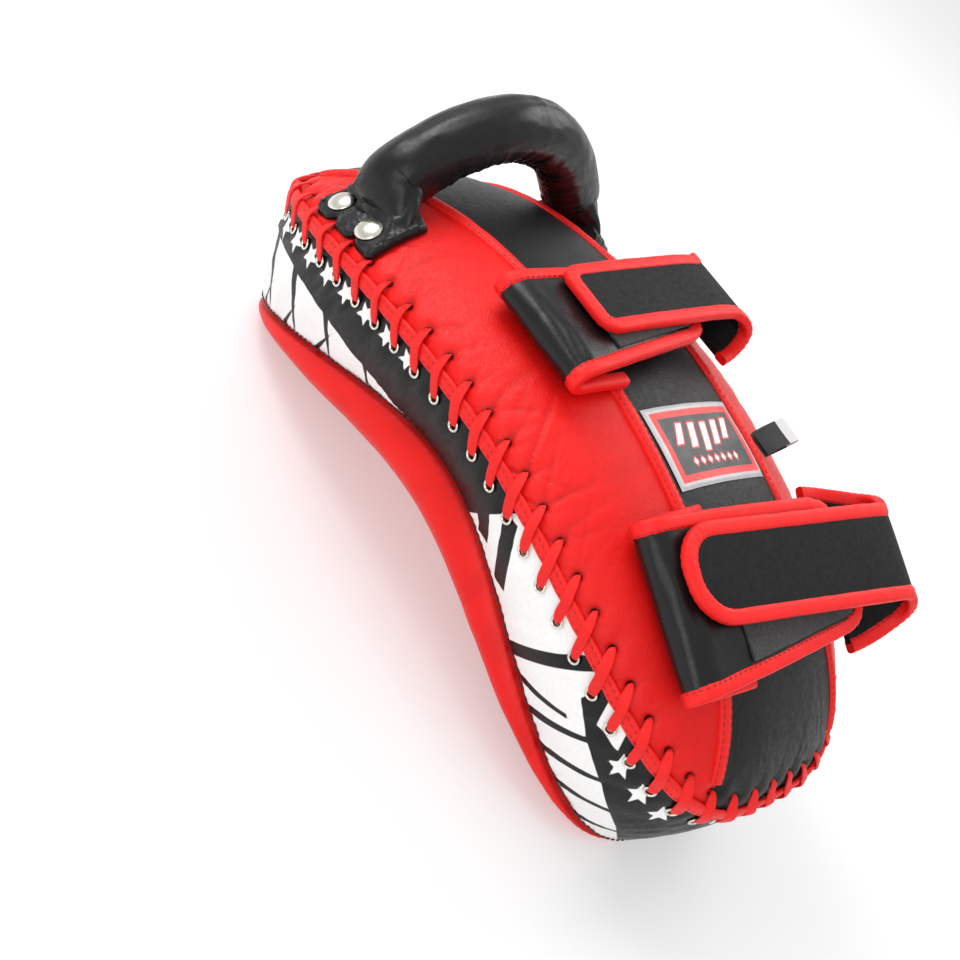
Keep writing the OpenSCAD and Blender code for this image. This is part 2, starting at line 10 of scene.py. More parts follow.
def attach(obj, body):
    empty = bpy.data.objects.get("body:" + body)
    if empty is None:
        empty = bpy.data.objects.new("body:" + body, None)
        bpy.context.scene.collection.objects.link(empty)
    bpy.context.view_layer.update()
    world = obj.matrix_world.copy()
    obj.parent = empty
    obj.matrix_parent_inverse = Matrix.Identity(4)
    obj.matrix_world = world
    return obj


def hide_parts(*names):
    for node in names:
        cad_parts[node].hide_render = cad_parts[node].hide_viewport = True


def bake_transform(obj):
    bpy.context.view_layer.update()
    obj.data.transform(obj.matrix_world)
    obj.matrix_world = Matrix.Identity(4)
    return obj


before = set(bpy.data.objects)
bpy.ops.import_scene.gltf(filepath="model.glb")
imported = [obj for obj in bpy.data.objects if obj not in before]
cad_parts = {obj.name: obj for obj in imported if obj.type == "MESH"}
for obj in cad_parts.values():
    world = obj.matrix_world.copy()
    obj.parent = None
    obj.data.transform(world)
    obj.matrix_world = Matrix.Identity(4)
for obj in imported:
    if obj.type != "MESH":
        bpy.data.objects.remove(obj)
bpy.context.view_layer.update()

MM = 0.001
TAU = 2 * math.pi

HALF_L, HALF_W = 195.0, 103.0      # half length and width over the laced edge
SEAM_L, SEAM_W = 177.0, 90.0       # the same over the strike seam
PLAN_N = 3.3
LACE_MID, LACE_DROP = 111.5, 46.0
SEAM_DROP, WALL_MID, CROWN = 74.0, 36.0, 38.0
STRIKE_MID, STRIKE_END = 38.0, 11.0      # depth of the strike cushion at mid length and at its ends
STRIKE_ROUND, STRIKE_SWELL = 0.45, 0.14  # how square its section is, and how far it swells past its seam
SKIN = 2.5
STITCHES = 62
HANDLE_A, HANDLE_H, HANDLE_Y = 78.0, 45.0, 129.0
HANDLE_R, HANDLE_LEAN, HANDLE_RISE = 16.5, 0.21, 1.9
HOLE_INSET, EYELET_DROP = 3.2, 11.0


# ---- Points, grids and sweeps ----

def unit(v):
    return v / np.maximum(np.linalg.norm(v, axis=-1, keepdims=True), 1e-12)


def points(*parts):
    return np.stack(np.broadcast_arrays(*parts), -1).astype(float)


def smooth(low, high, x):
    t = np.clip((x - low) / (high - low), 0, 1)
    return t * t * (3 - 2 * t)


def bell(x, width):
    return np.exp(-(x / width) ** 2)


def mix(a, b, f):
    return a + (b - a) * f


def fold(q, lip=0.5, off=1.7):
    """Depth over a crease of half width 1, with a raised lip beside it."""
    return bell(q, 1) - lip * bell(q - off, 1)


def lattice(seed, x, y):
    """Smooth noise from -1 to 1 over a plane with cells of size 1."""
    table = np.random.default_rng(seed).uniform(-1, 1, (64, 64))
    i, j = np.floor(x).astype(int), np.floor(y).astype(int)
    f, g = smooth(0, 1, x - i), smooth(0, 1, y - j)
    a, b = table[i % 64, j % 64], table[(i + 1) % 64, j % 64]
    c, d = table[i % 64, (j + 1) % 64], table[(i + 1) % 64, (j + 1) % 64]
    return mix(mix(a, b, f), mix(c, d, f), g)


def cells(rows, cols, wrap_rows=False, wrap_cols=False):
    i, j = np.meshgrid(np.arange(rows if wrap_rows else rows - 1),
                       np.arange(cols if wrap_cols else cols - 1), indexing="ij")
    k, m = (i + 1) % rows, (j + 1) % cols
    return np.stack([i * cols + j, i * cols + m, k * cols + m, k * cols + j], -1).reshape(-1, 4)


def grid_normals(p, wrap=False):
    rows = np.gradient(p, axis=0)
    cols = (np.roll(p, -1, 1) - np.roll(p, 1, 1)) / 2 if wrap else np.gradient(p, axis=1)
    return unit(np.cross(cols, rows))


def sheet(outer, inner):
    """Closed body between two grids of points."""
    rows, cols = outer.shape[:2]
    k = rows * cols
    last = (rows - 1) * cols
    edge = np.concatenate([np.arange(cols), np.arange(1, rows) * cols + cols - 1,
                           last + np.arange(cols - 2, -1, -1), np.arange(rows - 2, 0, -1) * cols])
    after = np.roll(edge, -1)
    side = np.stack([edge, after, after + k, edge + k], -1)
    over = cells(rows, cols)
    return np.vstack([outer.reshape(-1, 3), inner.reshape(-1, 3)]), [over, over[:, ::-1] + k, side]


def tube(rings, closed=False):
    """Body through rings of points, with capped ends unless it closes on itself."""
    m, n = rings.shape[:2]
    verts, faces = rings.reshape(-1, 3), [cells(m, n, closed, True)]
    if not closed:
        verts = np.vstack([verts, rings[0].mean(0), rings[-1].mean(0)])
        k = np.arange(n)
        j = (k + 1) % n
        faces.append(np.stack([j, k, np.full(n, m * n)], -1))
        faces.append(np.stack([k + (m - 1) * n, j + (m - 1) * n, np.full(n, m * n + 1)], -1))
    return verts, faces


def along_of(path, closed=False):
    if closed:
        return unit(np.roll(path, -1, 0) - np.roll(path, 1, 0))
    return unit(np.gradient(path, axis=0))


def sweep(path, normals, section, closed=False):
    """Strip along a path: section holds (across, up) for each point of each ring, or of every ring."""
    along = along_of(path, closed)
    across = unit(np.cross(along, normals))
    up = unit(np.cross(across, along))
    s = np.broadcast_to(section, (len(path),) + section.shape[-2:])
    return tube(path[:, None] + s[..., :1] * across[:, None] + s[..., 1:] * up[:, None], closed)


def oval(wide, thick, power=0.7, n=14):
    a = np.arange(n) / n * TAU + TAU / n / 2
    c, s = np.cos(a), np.sin(a)
    return np.stack([np.sign(c) * abs(c) ** power * wide / 2, np.sign(s) * abs(s) ** power * thick / 2], -1)


def sized(section, wide, thick):
    """The section at each point of a path, at the width and thickness it has there."""
    return section[None] * points(wide, thick)[:, None]


def measure(path):
    return np.concatenate([[0], np.cumsum(np.linalg.norm(np.diff(path, axis=0), axis=1))])


def spaced(path, pitch, *more):
    """The path, and values along it, at even steps of about pitch."""
    s = measure(path)
    t = np.linspace(0, s[-1], max(3, int(round(s[-1] / pitch)) + 1))
    return [np.stack([np.interp(t, s, q[:, i]) for i in range(q.shape[1])], -1) for q in (path, *more)]


def stitch_row(path, normals, pitch=3.6, length=2.6, radius=0.42):
    """Short thread loops, end to end along a path."""
    at, up = spaced(path, pitch, normals)
    at, up = (at[1:] + at[:-1]) / 2, unit(up[1:] + up[:-1])
    along = along_of(at)
    across = unit(np.cross(along, up))
    n = 6
    a = np.arange(n) / n * TAU
    stations = ((-0.5, 0.25, 0.5), (-0.32, 0.85, 0.1), (0, 1, 0), (0.32, 0.85, 0.1), (0.5, 0.25, 0.5))
    parts = []
    for i in range(len(at)):
        ring = np.cos(a)[:, None] * across[i] + np.sin(a)[:, None] * up[i]
        parts.append(tube(np.array([
            at[i] + along[i] * where * length - up[i] * sink * radius + radius * size * ring
            for where, size, sink in stations])))
    return join(parts)


def join(parts):
    verts, faces, start = [], [], 0
    for v, f in parts:
        verts.append(v)
        faces.extend(q + start for q in f)
        start += len(v)
    return np.vstack(verts), faces


def lathe(profile, at, normal, steps=40, closed=True):
    """Ring or button turned from (radius, height) pairs about a normal."""
    z = unit(np.asarray(normal, float))
    x = unit(np.cross(z, [0.3, 0.9, 0.1]))
    y = np.cross(z, x)
    a = np.arange(steps) / steps * TAU
    ring = np.cos(a)[:, None] * x + np.sin(a)[:, None] * y
    return tube(np.array([at + r * ring + h * z for r, h in profile]), closed)


def two_sided(front, back=1):
    """Values for both sides of a sheet: the back's are the front's times a factor."""
    return np.concatenate([front.ravel(), front.ravel() * back])


def piece(name, part, material, slot, body="pad", replaces=(), crease=60, **values):
    """Object from vertices in millimetres and faces, riding on a body, with float values per vertex."""
    verts, faces = part
    mesh = bpy.data.meshes.new(name)
    mesh.from_pydata((verts * MM).tolist(), [], [f for q in faces for f in q.tolist()])
    bm = bmesh.new()
    bm.from_mesh(mesh)
    bmesh.ops.recalc_face_normals(bm, faces=bm.faces)
    bm.to_mesh(mesh)
    bm.free()
    mesh.shade_smooth()
    mesh.set_sharp_from_angle(angle=math.radians(crease))
    for key, value in values.items():
        full = np.zeros(len(verts), np.float32)
        full[:] = np.resize(value, len(verts))
        mesh.attributes.new(key, "FLOAT", "POINT").data.foreach_set("value", full)
    obj = bpy.data.objects.new(name, mesh)
    bpy.context.scene.collection.objects.link(obj)
    mesh.materials.append(material)
    if isinstance(body, str):
        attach(obj, body)
    else:
        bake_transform(obj)
    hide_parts(*replaces)
    return obj


def tree(spots):
    found = KDTree(len(spots))
    for i, p in enumerate(spots):
        found.insert(p, i)
    found.balance()
    return found


def nearest(found, p):
    """(index, distance) of the nearest spot for each point."""
    hits = [found.find(q) for q in p.reshape(-1, 3)]
    return (np.array([h[1] for h in hits]).reshape(p.shape[:-1]),
            np.array([h[2] for h in hits]).reshape(p.shape[:-1]))


# ---- The pad's surfaces, as in the CAD ----

def outline(a, length, width):
    c, s = np.cos(a), np.sin(a)
    r = (abs(c) ** PLAN_N + abs(s) ** PLAN_N) ** (-1 / PLAN_N)
    return points(width * r * c, length * r * s)


_turn = np.linspace(0, TAU, 1441)
_round = measure(outline(_turn, HALF_L, HALF_W))
EDGE_LEN = _round[-1]
PITCH = EDGE_LEN / STITCHES


def angle_at(share):
    return np.interp(np.mod(share, 1) * EDGE_LEN, _round, _turn)


def lace_z(y):
    return LACE_MID - LACE_DROP * (abs(y) / HALF_L) ** 1.9


def turned(q):
    """Share of the way from mid length to the end, with a smooth turn at mid length."""
    c = 0.3
    return (np.sqrt(q * q + c * c) - c) / (math.sqrt(1 + c * c) - c)


def seam_z(y):
    return LACE_MID - WALL_MID - SEAM_DROP * turned(y / SEAM_L)


def half_width(y):
    return HALF_W * np.maximum(0, 1 - (abs(y) / HALF_L) ** PLAN_N) ** (1 / PLAN_N)


def strip_half(y):
    return 43 + 14 * (abs(y) / HALF_L) ** 3


def back_z(x, y):
    hw = np.maximum(half_width(y), 0.01)
    side = np.maximum(0, 1 - np.minimum(1, abs(x) / hw) ** 2.3) ** 0.6
    end = np.maximum(0, 1 - np.minimum(1, abs(y) / HALF_L) ** 5) ** 0.5
    return lace_z(y) + CROWN * side * end


def back_normal(x, y):
    dx = (back_z(x + 1, y) - back_z(x - 1, y)) / 2
    dy = (back_z(x, y + 1) - back_z(x, y - 1)) / 2
    return unit(points(-dx, -dy, 1.0))


def back_point(x, y, lift=0.0):
    return points(x, y, back_z(x, y)) + np.asarray(lift)[..., None] * back_normal(x, y)


def edge_out(a):
    return unit(points(np.cos(a) / HALF_W, np.sin(a) / HALF_L, 0.0))


def wall_point(a, v):
    top, foot = outline(a, HALF_L, HALF_W), outline(a, SEAM_L, SEAM_W)
    out = edge_out(a)[..., :2] * (4 * np.sin(math.pi * v))[..., None]
    p = mix(top, foot, np.asarray(v)[..., None]) + out
    return points(p[..., 0], p[..., 1], mix(lace_z(top[..., 1]), seam_z(foot[..., 1]), v))


def wall_normal(a, v):
    e = math.radians(1)
    d = 0.02
    around = wall_point(a + e, v) - wall_point(a - e, v)
    return unit(np.cross(around, wall_point(a, v - d) - wall_point(a, v + d)))


def wall_depth(a):
    return np.linalg.norm(wall_point(a, a * 0) - wall_point(a, a * 0 + 1), axis=-1)


def strike_point(a, b, inset=0.0):
    p = outline(a, SEAM_L - inset, SEAM_W - inset)
    q = np.minimum(1, abs(p[..., 1]) / SEAM_L)
    p = p * (np.cos(b) ** STRIKE_ROUND * (1 + STRIKE_SWELL * (1 - q * q) * np.sin(2 * b)))[..., None]
    deep = mix(STRIKE_MID, STRIKE_END, turned(p[..., 1] / SEAM_L)) - inset
    return points(p[..., 0], p[..., 1], np.maximum(seam_z(p[..., 1]) - deep * np.sin(b) ** 0.9, inset))


def hole_point(a, lift=0.0):
    p = outline(a, HALF_L, HALF_W) - HOLE_INSET * edge_out(a)[..., :2]
    return back_point(p[..., 0], p[..., 1], lift)


def eyelet_point(a, lift=0.0, down=EYELET_DROP):
    v = down / wall_depth(a)
    return wall_point(a, v) + np.asarray(lift)[..., None] * wall_normal(a, v)


def edge_point(a, lift=0.0):
    return wall_point(a, a * 0) + np.asarray(lift)[..., None] * edge_out(a)


# ---- Materials ----

def shader(name):
    mat = bpy.data.materials.new(name)
    mat.use_nodes = True
    tree_ = mat.node_tree
    return mat, tree_, tree_.nodes["Principled BSDF"]


def add(nt, kind, settings=None, **inputs):
    """Node with settings, and inputs given as values or as other nodes' sockets."""
    n = nt.nodes.new(kind)
    for key, value in (settings or {}).items():
        setattr(n, key, value)
    for key, value in inputs.items():
        socket = n.inputs[int(key[1:]) if key[1:].isdigit() else key.replace("_", " ")]
        if isinstance(value, bpy.types.NodeSocket):
            nt.links.new(value, socket)
        else:
            socket.default_value = value
    return n


def blend_colour(nt, factor, a, b, mode="MIX"):
    n = add(nt, "ShaderNodeMix", {"data_type": "RGBA", "blend_type": mode})
    for i, value in ((0, factor), (6, a), (7, b)):
        if isinstance(value, bpy.types.NodeSocket):
            nt.links.new(value, n.inputs[i])
        else:
            n.inputs[i].default_value = value
    return n.outputs[2]


def ramp(nt, value, low, high, to_low=0.0, to_high=1.0):
    return add(nt, "ShaderNodeMapRange", Value=value, From_Min=low, From_Max=high, To_Min=to_low,
               To_Max=to_high).outputs[0]


def scaled_sum(nt, value, factor, more):
    return add(nt, "ShaderNodeMath", {"operation": "MULTIPLY_ADD"}, _0=value, _1=factor, _2=more).outputs[0]


def roughen(nt, bsdf, height, strength, distance):
    wave = add(nt, "ShaderNodeBump", Strength=strength, Distance=distance, Height=height)
    nt.links.new(wave.outputs[0], bsdf.inputs["Normal"])


def attribute(nt, name):
    return add(nt, "ShaderNodeAttribute", {"attribute_name": name}).outputs["Fac"]


def rgba(r, g, b):
    return (r, g, b, 1.0)


def shade(colour, factor):
    return rgba(*[c * factor for c in colour])


def leather(name, light, dark, rough, grain=850, bump=0.35, specular=0.25, printed=False, coat=0.0):
    """Grained leather: pores, painted shade that darkens the creases and hollows, and a print where the mesh
    carries one.
    """
    mat, nt, bsdf = shader(name)
    at = add(nt, "ShaderNodeTexCoord").outputs["Object"]
    broad = add(nt, "ShaderNodeTexNoise", Vector=at, Scale=14.0, Detail=3.0).outputs["Fac"]
    fine = add(nt, "ShaderNodeTexNoise", Vector=at, Scale=420.0, Detail=4.0, Roughness=0.6).outputs["Fac"]
    pores = add(nt, "ShaderNodeTexVoronoi", {"feature": "DISTANCE_TO_EDGE"}, Vector=at,
                Scale=float(grain)).outputs[0]
    creases = add(nt, "ShaderNodeTexNoise", {"noise_type": "RIDGED_MULTIFRACTAL"}, Vector=at, Scale=95.0,
                  Detail=5.0).outputs["Fac"]
    colour = blend_colour(nt, ramp(nt, broad, 0.3, 0.7, 0.0, 0.55), rgba(*light), rgba(*dark))
    # painted shade: the colour darkens towards the deep tone where the surface sinks below its rest height,
    # in creases, seams and hollows
    colour = blend_colour(nt, ramp(nt, attribute(nt, "relief"), 0.0, -1.0, 0.0, 0.6), colour,
                          shade(dark, 0.45))
    if printed:
        white = blend_colour(nt, ramp(nt, fine, 0.4, 0.75), rgba(0.88, 0.88, 0.87), rgba(0.82, 0.82, 0.82))
        colour = blend_colour(nt, ramp(nt, attribute(nt, "ink"), -0.2, 0.2), colour, white)
    # painted shade: near black where a lace hole or eyelet sinks into the leather, standing in for the dark
    # inside the hole
    colour = blend_colour(nt, ramp(nt, attribute(nt, "hole"), 0.35, 0.6), colour, rgba(0.003, 0.003, 0.003))
    nt.links.new(colour, bsdf.inputs["Base Color"])
    nt.links.new(ramp(nt, fine, 0.35, 0.7, rough - 0.06, rough + 0.1), bsdf.inputs["Roughness"])
    high = scaled_sum(nt, ramp(nt, pores, 0.0, 0.18), 0.6, fine)
    roughen(nt, bsdf, scaled_sum(nt, creases, -0.45, high), bump, 0.0003)
    bsdf.inputs["Specular IOR Level"].default_value = specular
    bsdf.inputs["Coat Weight"].default_value = coat
    bsdf.inputs["Coat Roughness"].default_value = 0.22
    return mat


def fuzzy(name, colour, scale, depth):
    """Looped or hooked tape: dull, with sheen, a tight pile, and painted shade and light that follow the
    pile.
    """
    mat, nt, bsdf = shader(name)
    at = add(nt, "ShaderNodeTexCoord").outputs["Object"]
    pile = add(nt, "ShaderNodeTexNoise", Vector=at, Scale=scale, Detail=6.0, Roughness=0.75).outputs["Fac"]
    # painted shade and light: the pile's mottle follows its bump, darker in the hollows and lighter on the
    # tops
    tint = blend_colour(nt, ramp(nt, pile, 0.35, 0.7), shade(colour, 0.35), shade(colour, 2.4))
    nt.links.new(tint, bsdf.inputs["Base Color"])
    nt.links.new(ramp(nt, pile, 0.3, 0.7, 0.85, 1.0), bsdf.inputs["Roughness"])
    roughen(nt, bsdf, pile, 0.9, depth)
    bsdf.inputs["Specular IOR Level"].default_value = 0.15
    bsdf.inputs["Sheen Weight"].default_value = 0.25
    bsdf.inputs["Sheen Roughness"].default_value = 0.6
    return mat


def thread(name, colour):
    """Twisted sewing thread, with painted shade in the grooves between its plies."""
    mat, nt, bsdf = shader(name)
    at = add(nt, "ShaderNodeTexCoord").outputs["Object"]
    ply = add(nt, "ShaderNodeTexWave", {"bands_direction": "DIAGONAL"}, Vector=at, Scale=900.0,
              Distortion=2.0).outputs["Fac"]
    # painted shade: the colour follows the ply bump, darker in its grooves
    tint = blend_colour(nt, ply, shade(colour, 0.55), rgba(*colour))
    nt.links.new(tint, bsdf.inputs["Base Color"])
    roughen(nt, bsdf, ply, 0.4, 0.0002)
    bsdf.inputs["Roughness"].default_value = 0.6
    return mat


def metal(name, colour, rough):
    mat, nt, bsdf = shader(name)
    at = add(nt, "ShaderNodeTexCoord").outputs["Object"]
    wear = add(nt, "ShaderNodeTexNoise", Vector=at, Scale=260.0, Detail=4.0).outputs["Fac"]
    tint = blend_colour(nt, ramp(nt, wear, 0.4, 0.7), rgba(*colour), shade(colour, 0.72))
    nt.links.new(tint, bsdf.inputs["Base Color"])
    nt.links.new(ramp(nt, wear, 0.3, 0.75, rough - 0.06, rough + 0.14), bsdf.inputs["Roughness"])
    bsdf.inputs["Metallic"].default_value = 1.0
    return mat


def plain(name, a, b, scale, rough, depth=0.0004):
    """Foam, rope and other inner stuff: mottled, with an open surface."""
    mat, nt, bsdf = shader(name)
    at = add(nt, "ShaderNodeTexCoord").outputs["Object"]
    grain = add(nt, "ShaderNodeTexNoise", Vector=at, Scale=scale, Detail=5.0).outputs["Fac"]
    nt.links.new(blend_colour(nt, ramp(nt, grain, 0.35, 0.65), rgba(*a), rgba(*b)), bsdf.inputs["Base Color"])
    roughen(nt, bsdf, grain, 0.6, depth)
    bsdf.inputs["Roughness"].default_value = rough
    return mat


RED = (0.80, 0.008, 0.006)
RED_DEEP = (0.62, 0.004, 0.004)
RED_TRIM = (0.84, 0.014, 0.012)
BLACK = (0.006, 0.0065, 0.007)
BLACK_DEEP = (0.0035, 0.0035, 0.004)
red_leather = leather("red_leather", RED, RED_DEEP, 0.42, bump=0.4)
strike_leather = leather("strike_leather", RED, RED_DEEP, 0.36, grain=1000, bump=0.22)
black_leather = leather("black_leather", BLACK, BLACK_DEEP, 0.44, bump=0.28)
glossy_black = leather("glossy_black_leather", BLACK, BLACK_DEEP, 0.3, grain=1100, bump=0.14, specular=0.3,
                       coat=0.06)
matte_black = leather("matte_black_leather", BLACK, BLACK_DEEP, 0.6, grain=1300, bump=0.3, specular=0.2)
printed_leather = leather("printed_leather", BLACK, BLACK_DEEP, 0.38, bump=0.2, printed=True)
red_trim = leather("red_trim_leather", RED_TRIM, RED, 0.4, grain=1200, bump=0.3)
red_lace = leather("red_lace", RED_TRIM, RED, 0.46, grain=1500, bump=0.45)
red_thread = thread("red_thread", (0.55, 0.01, 0.01))
black_thread = thread("black_thread", (0.016, 0.016, 0.018))
nickel = metal("nickel", (0.80, 0.77, 0.68), 0.22)
foam = plain("foam", (0.30, 0.31, 0.32), (0.20, 0.21, 0.22), 900.0, 0.9)
rope = plain("rope", (0.62, 0.58, 0.48), (0.42, 0.38, 0.30), 350.0, 0.85)
vent_weave = plain("vent_weave", (0.02, 0.02, 0.022), (0.05, 0.05, 0.055), 1500.0, 0.6, 0.0002)
loop_pile = fuzzy("loop_pile", (0.014, 0.014, 0.015), 700.0, 0.0008)
hook_pile = fuzzy("hook_pile", (0.012, 0.012, 0.013), 1100.0, 0.0005)


# ---- Back panels, with the gathers that the lacing pulls ----

share_of_holes = np.arange(STITCHES) / STITCHES
hole_spots = hole_point(angle_at(share_of_holes))
hole_tree = tree(hole_spots)
EDGE_STEPS = 2480
line_tree = tree(hole_point(angle_at(np.arange(EDGE_STEPS) / EDGE_STEPS)))

_draw = np.random.default_rng(11)
FAN = [(i, _draw.normal(0.25, 0.55), _draw.uniform(6, 26), _draw.uniform(0.9, 1.7), _draw.uniform(0.2, 0.7))
       for i in range(STITCHES) for _ in range(5)]


def lace_relief(p, strength):
    """Height of the leather near the lace holes, and how much painted hole shade each point gets."""
    near, d = nearest(line_tree, p)
    s = near / EDGE_STEPS * EDGE_LEN
    _, r = nearest(hole_tree, p)
    h = 1.0 * (1 - np.cos(TAU * s / PITCH)) / 2 * bell(d, 6.0) - 1.9 * bell(r, 2.6)
    for i, slant, long, wide, deep in FAN:
        ds = np.mod(s - i * PITCH + EDGE_LEN / 2, EDGE_LEN) - EDGE_LEN / 2
        w = wide + 0.04 * d
        q = (ds + slant * d) / w
        h = h - strength * deep * fold(q, 0.55, 1.7) * np.exp(-d / long) * smooth(0.5, 4, d)
    h = h + strength * 0.34 * lattice(3, s / 2.4 + d / 9, d / 12) * np.exp(-d / 22) * smooth(1, 6, d)
    h = h + strength * 0.2 * lattice(4, s / 1.5 + d / 7, d / 8) * np.exp(-d / 30)
    return h, bell(r, 2.3)


def eased(reach, n):
    return reach * np.sin(math.pi / 2 * np.linspace(-1, 1, n))


def back_sheet(name, p, material, strength, node, slot):
    n = grid_normals(p)
    n *= np.sign(n[..., 2:])
    h, hole = lace_relief(p, strength)
    h = h + 0.35 * lattice(8, p[..., 0] / 30, p[..., 1] / 38) * smooth(4, 20, HALF_W - abs(p[..., 0]))
    outer, inner = p + h[..., None] * n, p - 2.2 * n
    obj = piece(name, sheet(outer, inner), material, slot, replaces=[node], relief=two_sided(h),
                hole=two_sided(hole))
    return obj


def panel_strength(y):
    return mix(0.15, 1.0, smooth(-105, -45, y)) * mix(1.0, 0.6, smooth(60, 150, y))


for side, word in ((-1, "left"), (1, "right")):
    y = eased(0.957 * HALF_L, 380)[:, None]
    f = np.sin(math.pi / 2 * np.linspace(0, 1, 84))[None]
    near_edge = strip_half(y) - 1.0
    far_edge = np.maximum(half_width(y), strip_half(y) + 0.3)
    x = side * mix(near_edge, far_edge, f)
    back_sheet(f"side_panel_{word}", back_point(x, y * np.ones_like(f)) - [0, 0, 0.2], red_leather,
               panel_strength(y), f"back_panel_{word}", "red_leather")

y = eased(HALF_L - 0.6, 420)[:, None]
half = np.minimum(half_width(y), strip_half(y)) - 0.1
x = half * np.linspace(-1, 1, 96)[None]
back_sheet("centre_strip", back_point(x, y * np.ones_like(x)), black_leather, 0.35, "back_panel_centre",
           "black_leather")


# ---- Welts between the panels ----

WELT = np.array([(-3.6, -0.5), (-3.3, 0.7), (-2.7, 1.25), (-2.1, 1.15), (-1.3, 1.75), (0, 2.0), (1.3, 1.75),
                 (2.1, 1.15), (2.7, 1.25), (3.3, 0.7), (3.6, -0.5), (0, -0.8)])
seam_parts = []
for side, word in ((-1, "left"), (1, "right")):
    y = eased(0.93 * HALF_L, 400)
    path = back_point(side * strip_half(y), y, 0.1)
    up = back_normal(side * strip_half(y), y)
    swell = 1 + 0.07 * lattice(21, y / 6, y * 0 + side)
    piece(f"welt_{word}", sweep(path, up, WELT[None] * swell[:, None, None]), red_trim, "red_trim",
          replaces=[f"panel_piping_{word}"])
    path, up = spaced(path, 1.0, up)
    across = unit(np.cross(along_of(path), up))
    for k in (-2.1, 2.1):
        seam_parts.append(stitch_row(path + across * k + up * 1.25, up))
piece("welt_stitches", join(seam_parts), red_thread, slot="red_trim")


# ---- Side wall with its print ----

PRINT_DEPTH = 45.0      # the print is drawn on a wall of this depth, in millimetres


def inside(at, corners):
    """Signed distance into a polygon, positive inside."""
    a = np.array(corners, float) * [1, PRINT_DEPTH]
    e = np.roll(a, -1, 0) - a
    best, odd = None, np.zeros(at.shape[:-1], bool)
    for p, d in zip(a, e):
        w = at - p
        t = np.clip((w @ d) / (d @ d), 0, 1)
        far = np.linalg.norm(w - t[..., None] * d, axis=-1)
        best = far if best is None else np.minimum(best, far)
        if abs(d[1]) > 1e-9:
            spans = (p[1] <= at[..., 1]) != (p[1] + d[1] <= at[..., 1])
            odd ^= spans & (w[..., 0] < d[0] * w[..., 1] / d[1])
    return np.where(odd, best, -best)


def star(p, v, r=6.2, turn=0.2):
    a = turn + np.arange(10) * TAU / 10
    q = np.where(np.arange(10) % 2, r * 0.42, r)
    return list(zip(p + q * np.sin(a), v + q * np.cos(a) / PRINT_DEPTH))


def bars(p, v0, v1, slant, gap=23, wide=9):
    """Two leaning bars with pointed ends."""
    lean = slant * (v1 - v0)
    tip, half = 0.10, wide / 2
    return [[(q + lean - half, v0 + tip), (q + lean + half, v0), (q + half, v1 - tip), (q - half, v1)]
            for q in (p, p + gap)]


def slits(start, pitch, count, v0, v1, slant, wide=7.0):
    """Pointed slits that narrow towards the strike seam."""
    lean = slant * (v1 - v0)
    return [[(q + lean, v0), (q + lean + wide, v0), (q + 0.8, v1), (q - 0.4, v1)]
            for q in (start + pitch * i for i in range(count))]


# Outlines of the print, as (distance from the handle end along the edge, share of the wall's depth)
CUFF_WHITE = [[(283, 1.0), (304, 0.06), (371, 0.03), (345, 1.0)],
              [(352, 1.0), (378, 0.04), (385, 0.05), (384, 0.30), (400, 0.42), (424, 0.52), (450, 0.70),
               (476, 1.0)],
              [(389, 0.0), (404, 0.0), (411, 0.20), (397, 0.27)]]
CUFF_BLACK = bars(299, 0.16, 0.88, -26) + [
    [(q - 1.5, 1.0), (q + 3.5, 1.0), (q + 30, tip), (q + 27, tip)]
    for q, tip in ((360, 0.52), (376, 0.34), (394, 0.46), (412, 0.56), (432, 0.68))]
CUFF_STARS = [star(p, 0.26) for p in (418, 434, 450)]
LEFT_WHITE = [[(12, 1.0), (20, 0.62), (50, 0.34), (80, 0.33), (110, 0.40), (150, 0.56), (190, 0.78),
               (228, 1.0)]]
LEFT_BLACK = slits(38, 31, 6, 0.26, 1.02, -24) + [
    [(q, 1.02), (q + 4.5, 1.02), (q + 16, 0.68)] for q in (22, 52, 83, 114, 146)]
LEFT_STARS = [star(p, 0.22) for p in range(25, 213, 17)]
RIGHT_WHITE = [[(14, 0.97), (27, 0.14), (76, 0.12), (62, 0.97)],
               [(70, 0.97), (83, 0.30), (120, 0.34), (160, 0.55), (196, 0.97)]]
RIGHT_BLACK = bars(23, 0.22, 0.90, -16, 27, 8) + slits(84, 30, 4, 0.26, 1.02, -24)
RIGHT_STARS = [star(p, 0.20) for p in range(98, 201, 17)]


def ink_at(at, side):
    """Signed distance into the white print, over distance from the handle end and depth."""
    white, black, stars = ((RIGHT_WHITE, RIGHT_BLACK, RIGHT_STARS) if side > 0
                           else (LEFT_WHITE, LEFT_BLACK, LEFT_STARS))
    ink = np.max([inside(at, c) for c in white + CUFF_WHITE], axis=0)
    ink = np.minimum(ink, -np.max([inside(at, c) for c in black + CUFF_BLACK], axis=0))
    return np.maximum(ink, np.max([inside(at, c) for c in stars + CUFF_STARS], axis=0))


VENT_V, VENT_X = 0.48, 40.0
vent_angles = [math.atan2(HALF_W, s * VENT_X) for s in (-1, 1)]
vent_at = [wall_point(a, VENT_V) for a in vent_angles]
vent_up = [wall_normal(a, VENT_V) for a in vent_angles]
eyelet_angles = angle_at((np.arange(STITCHES) + 0.6) / STITCHES)
eyelet_spots = eyelet_point(eyelet_angles)
eyelet_tree = tree(eyelet_spots)

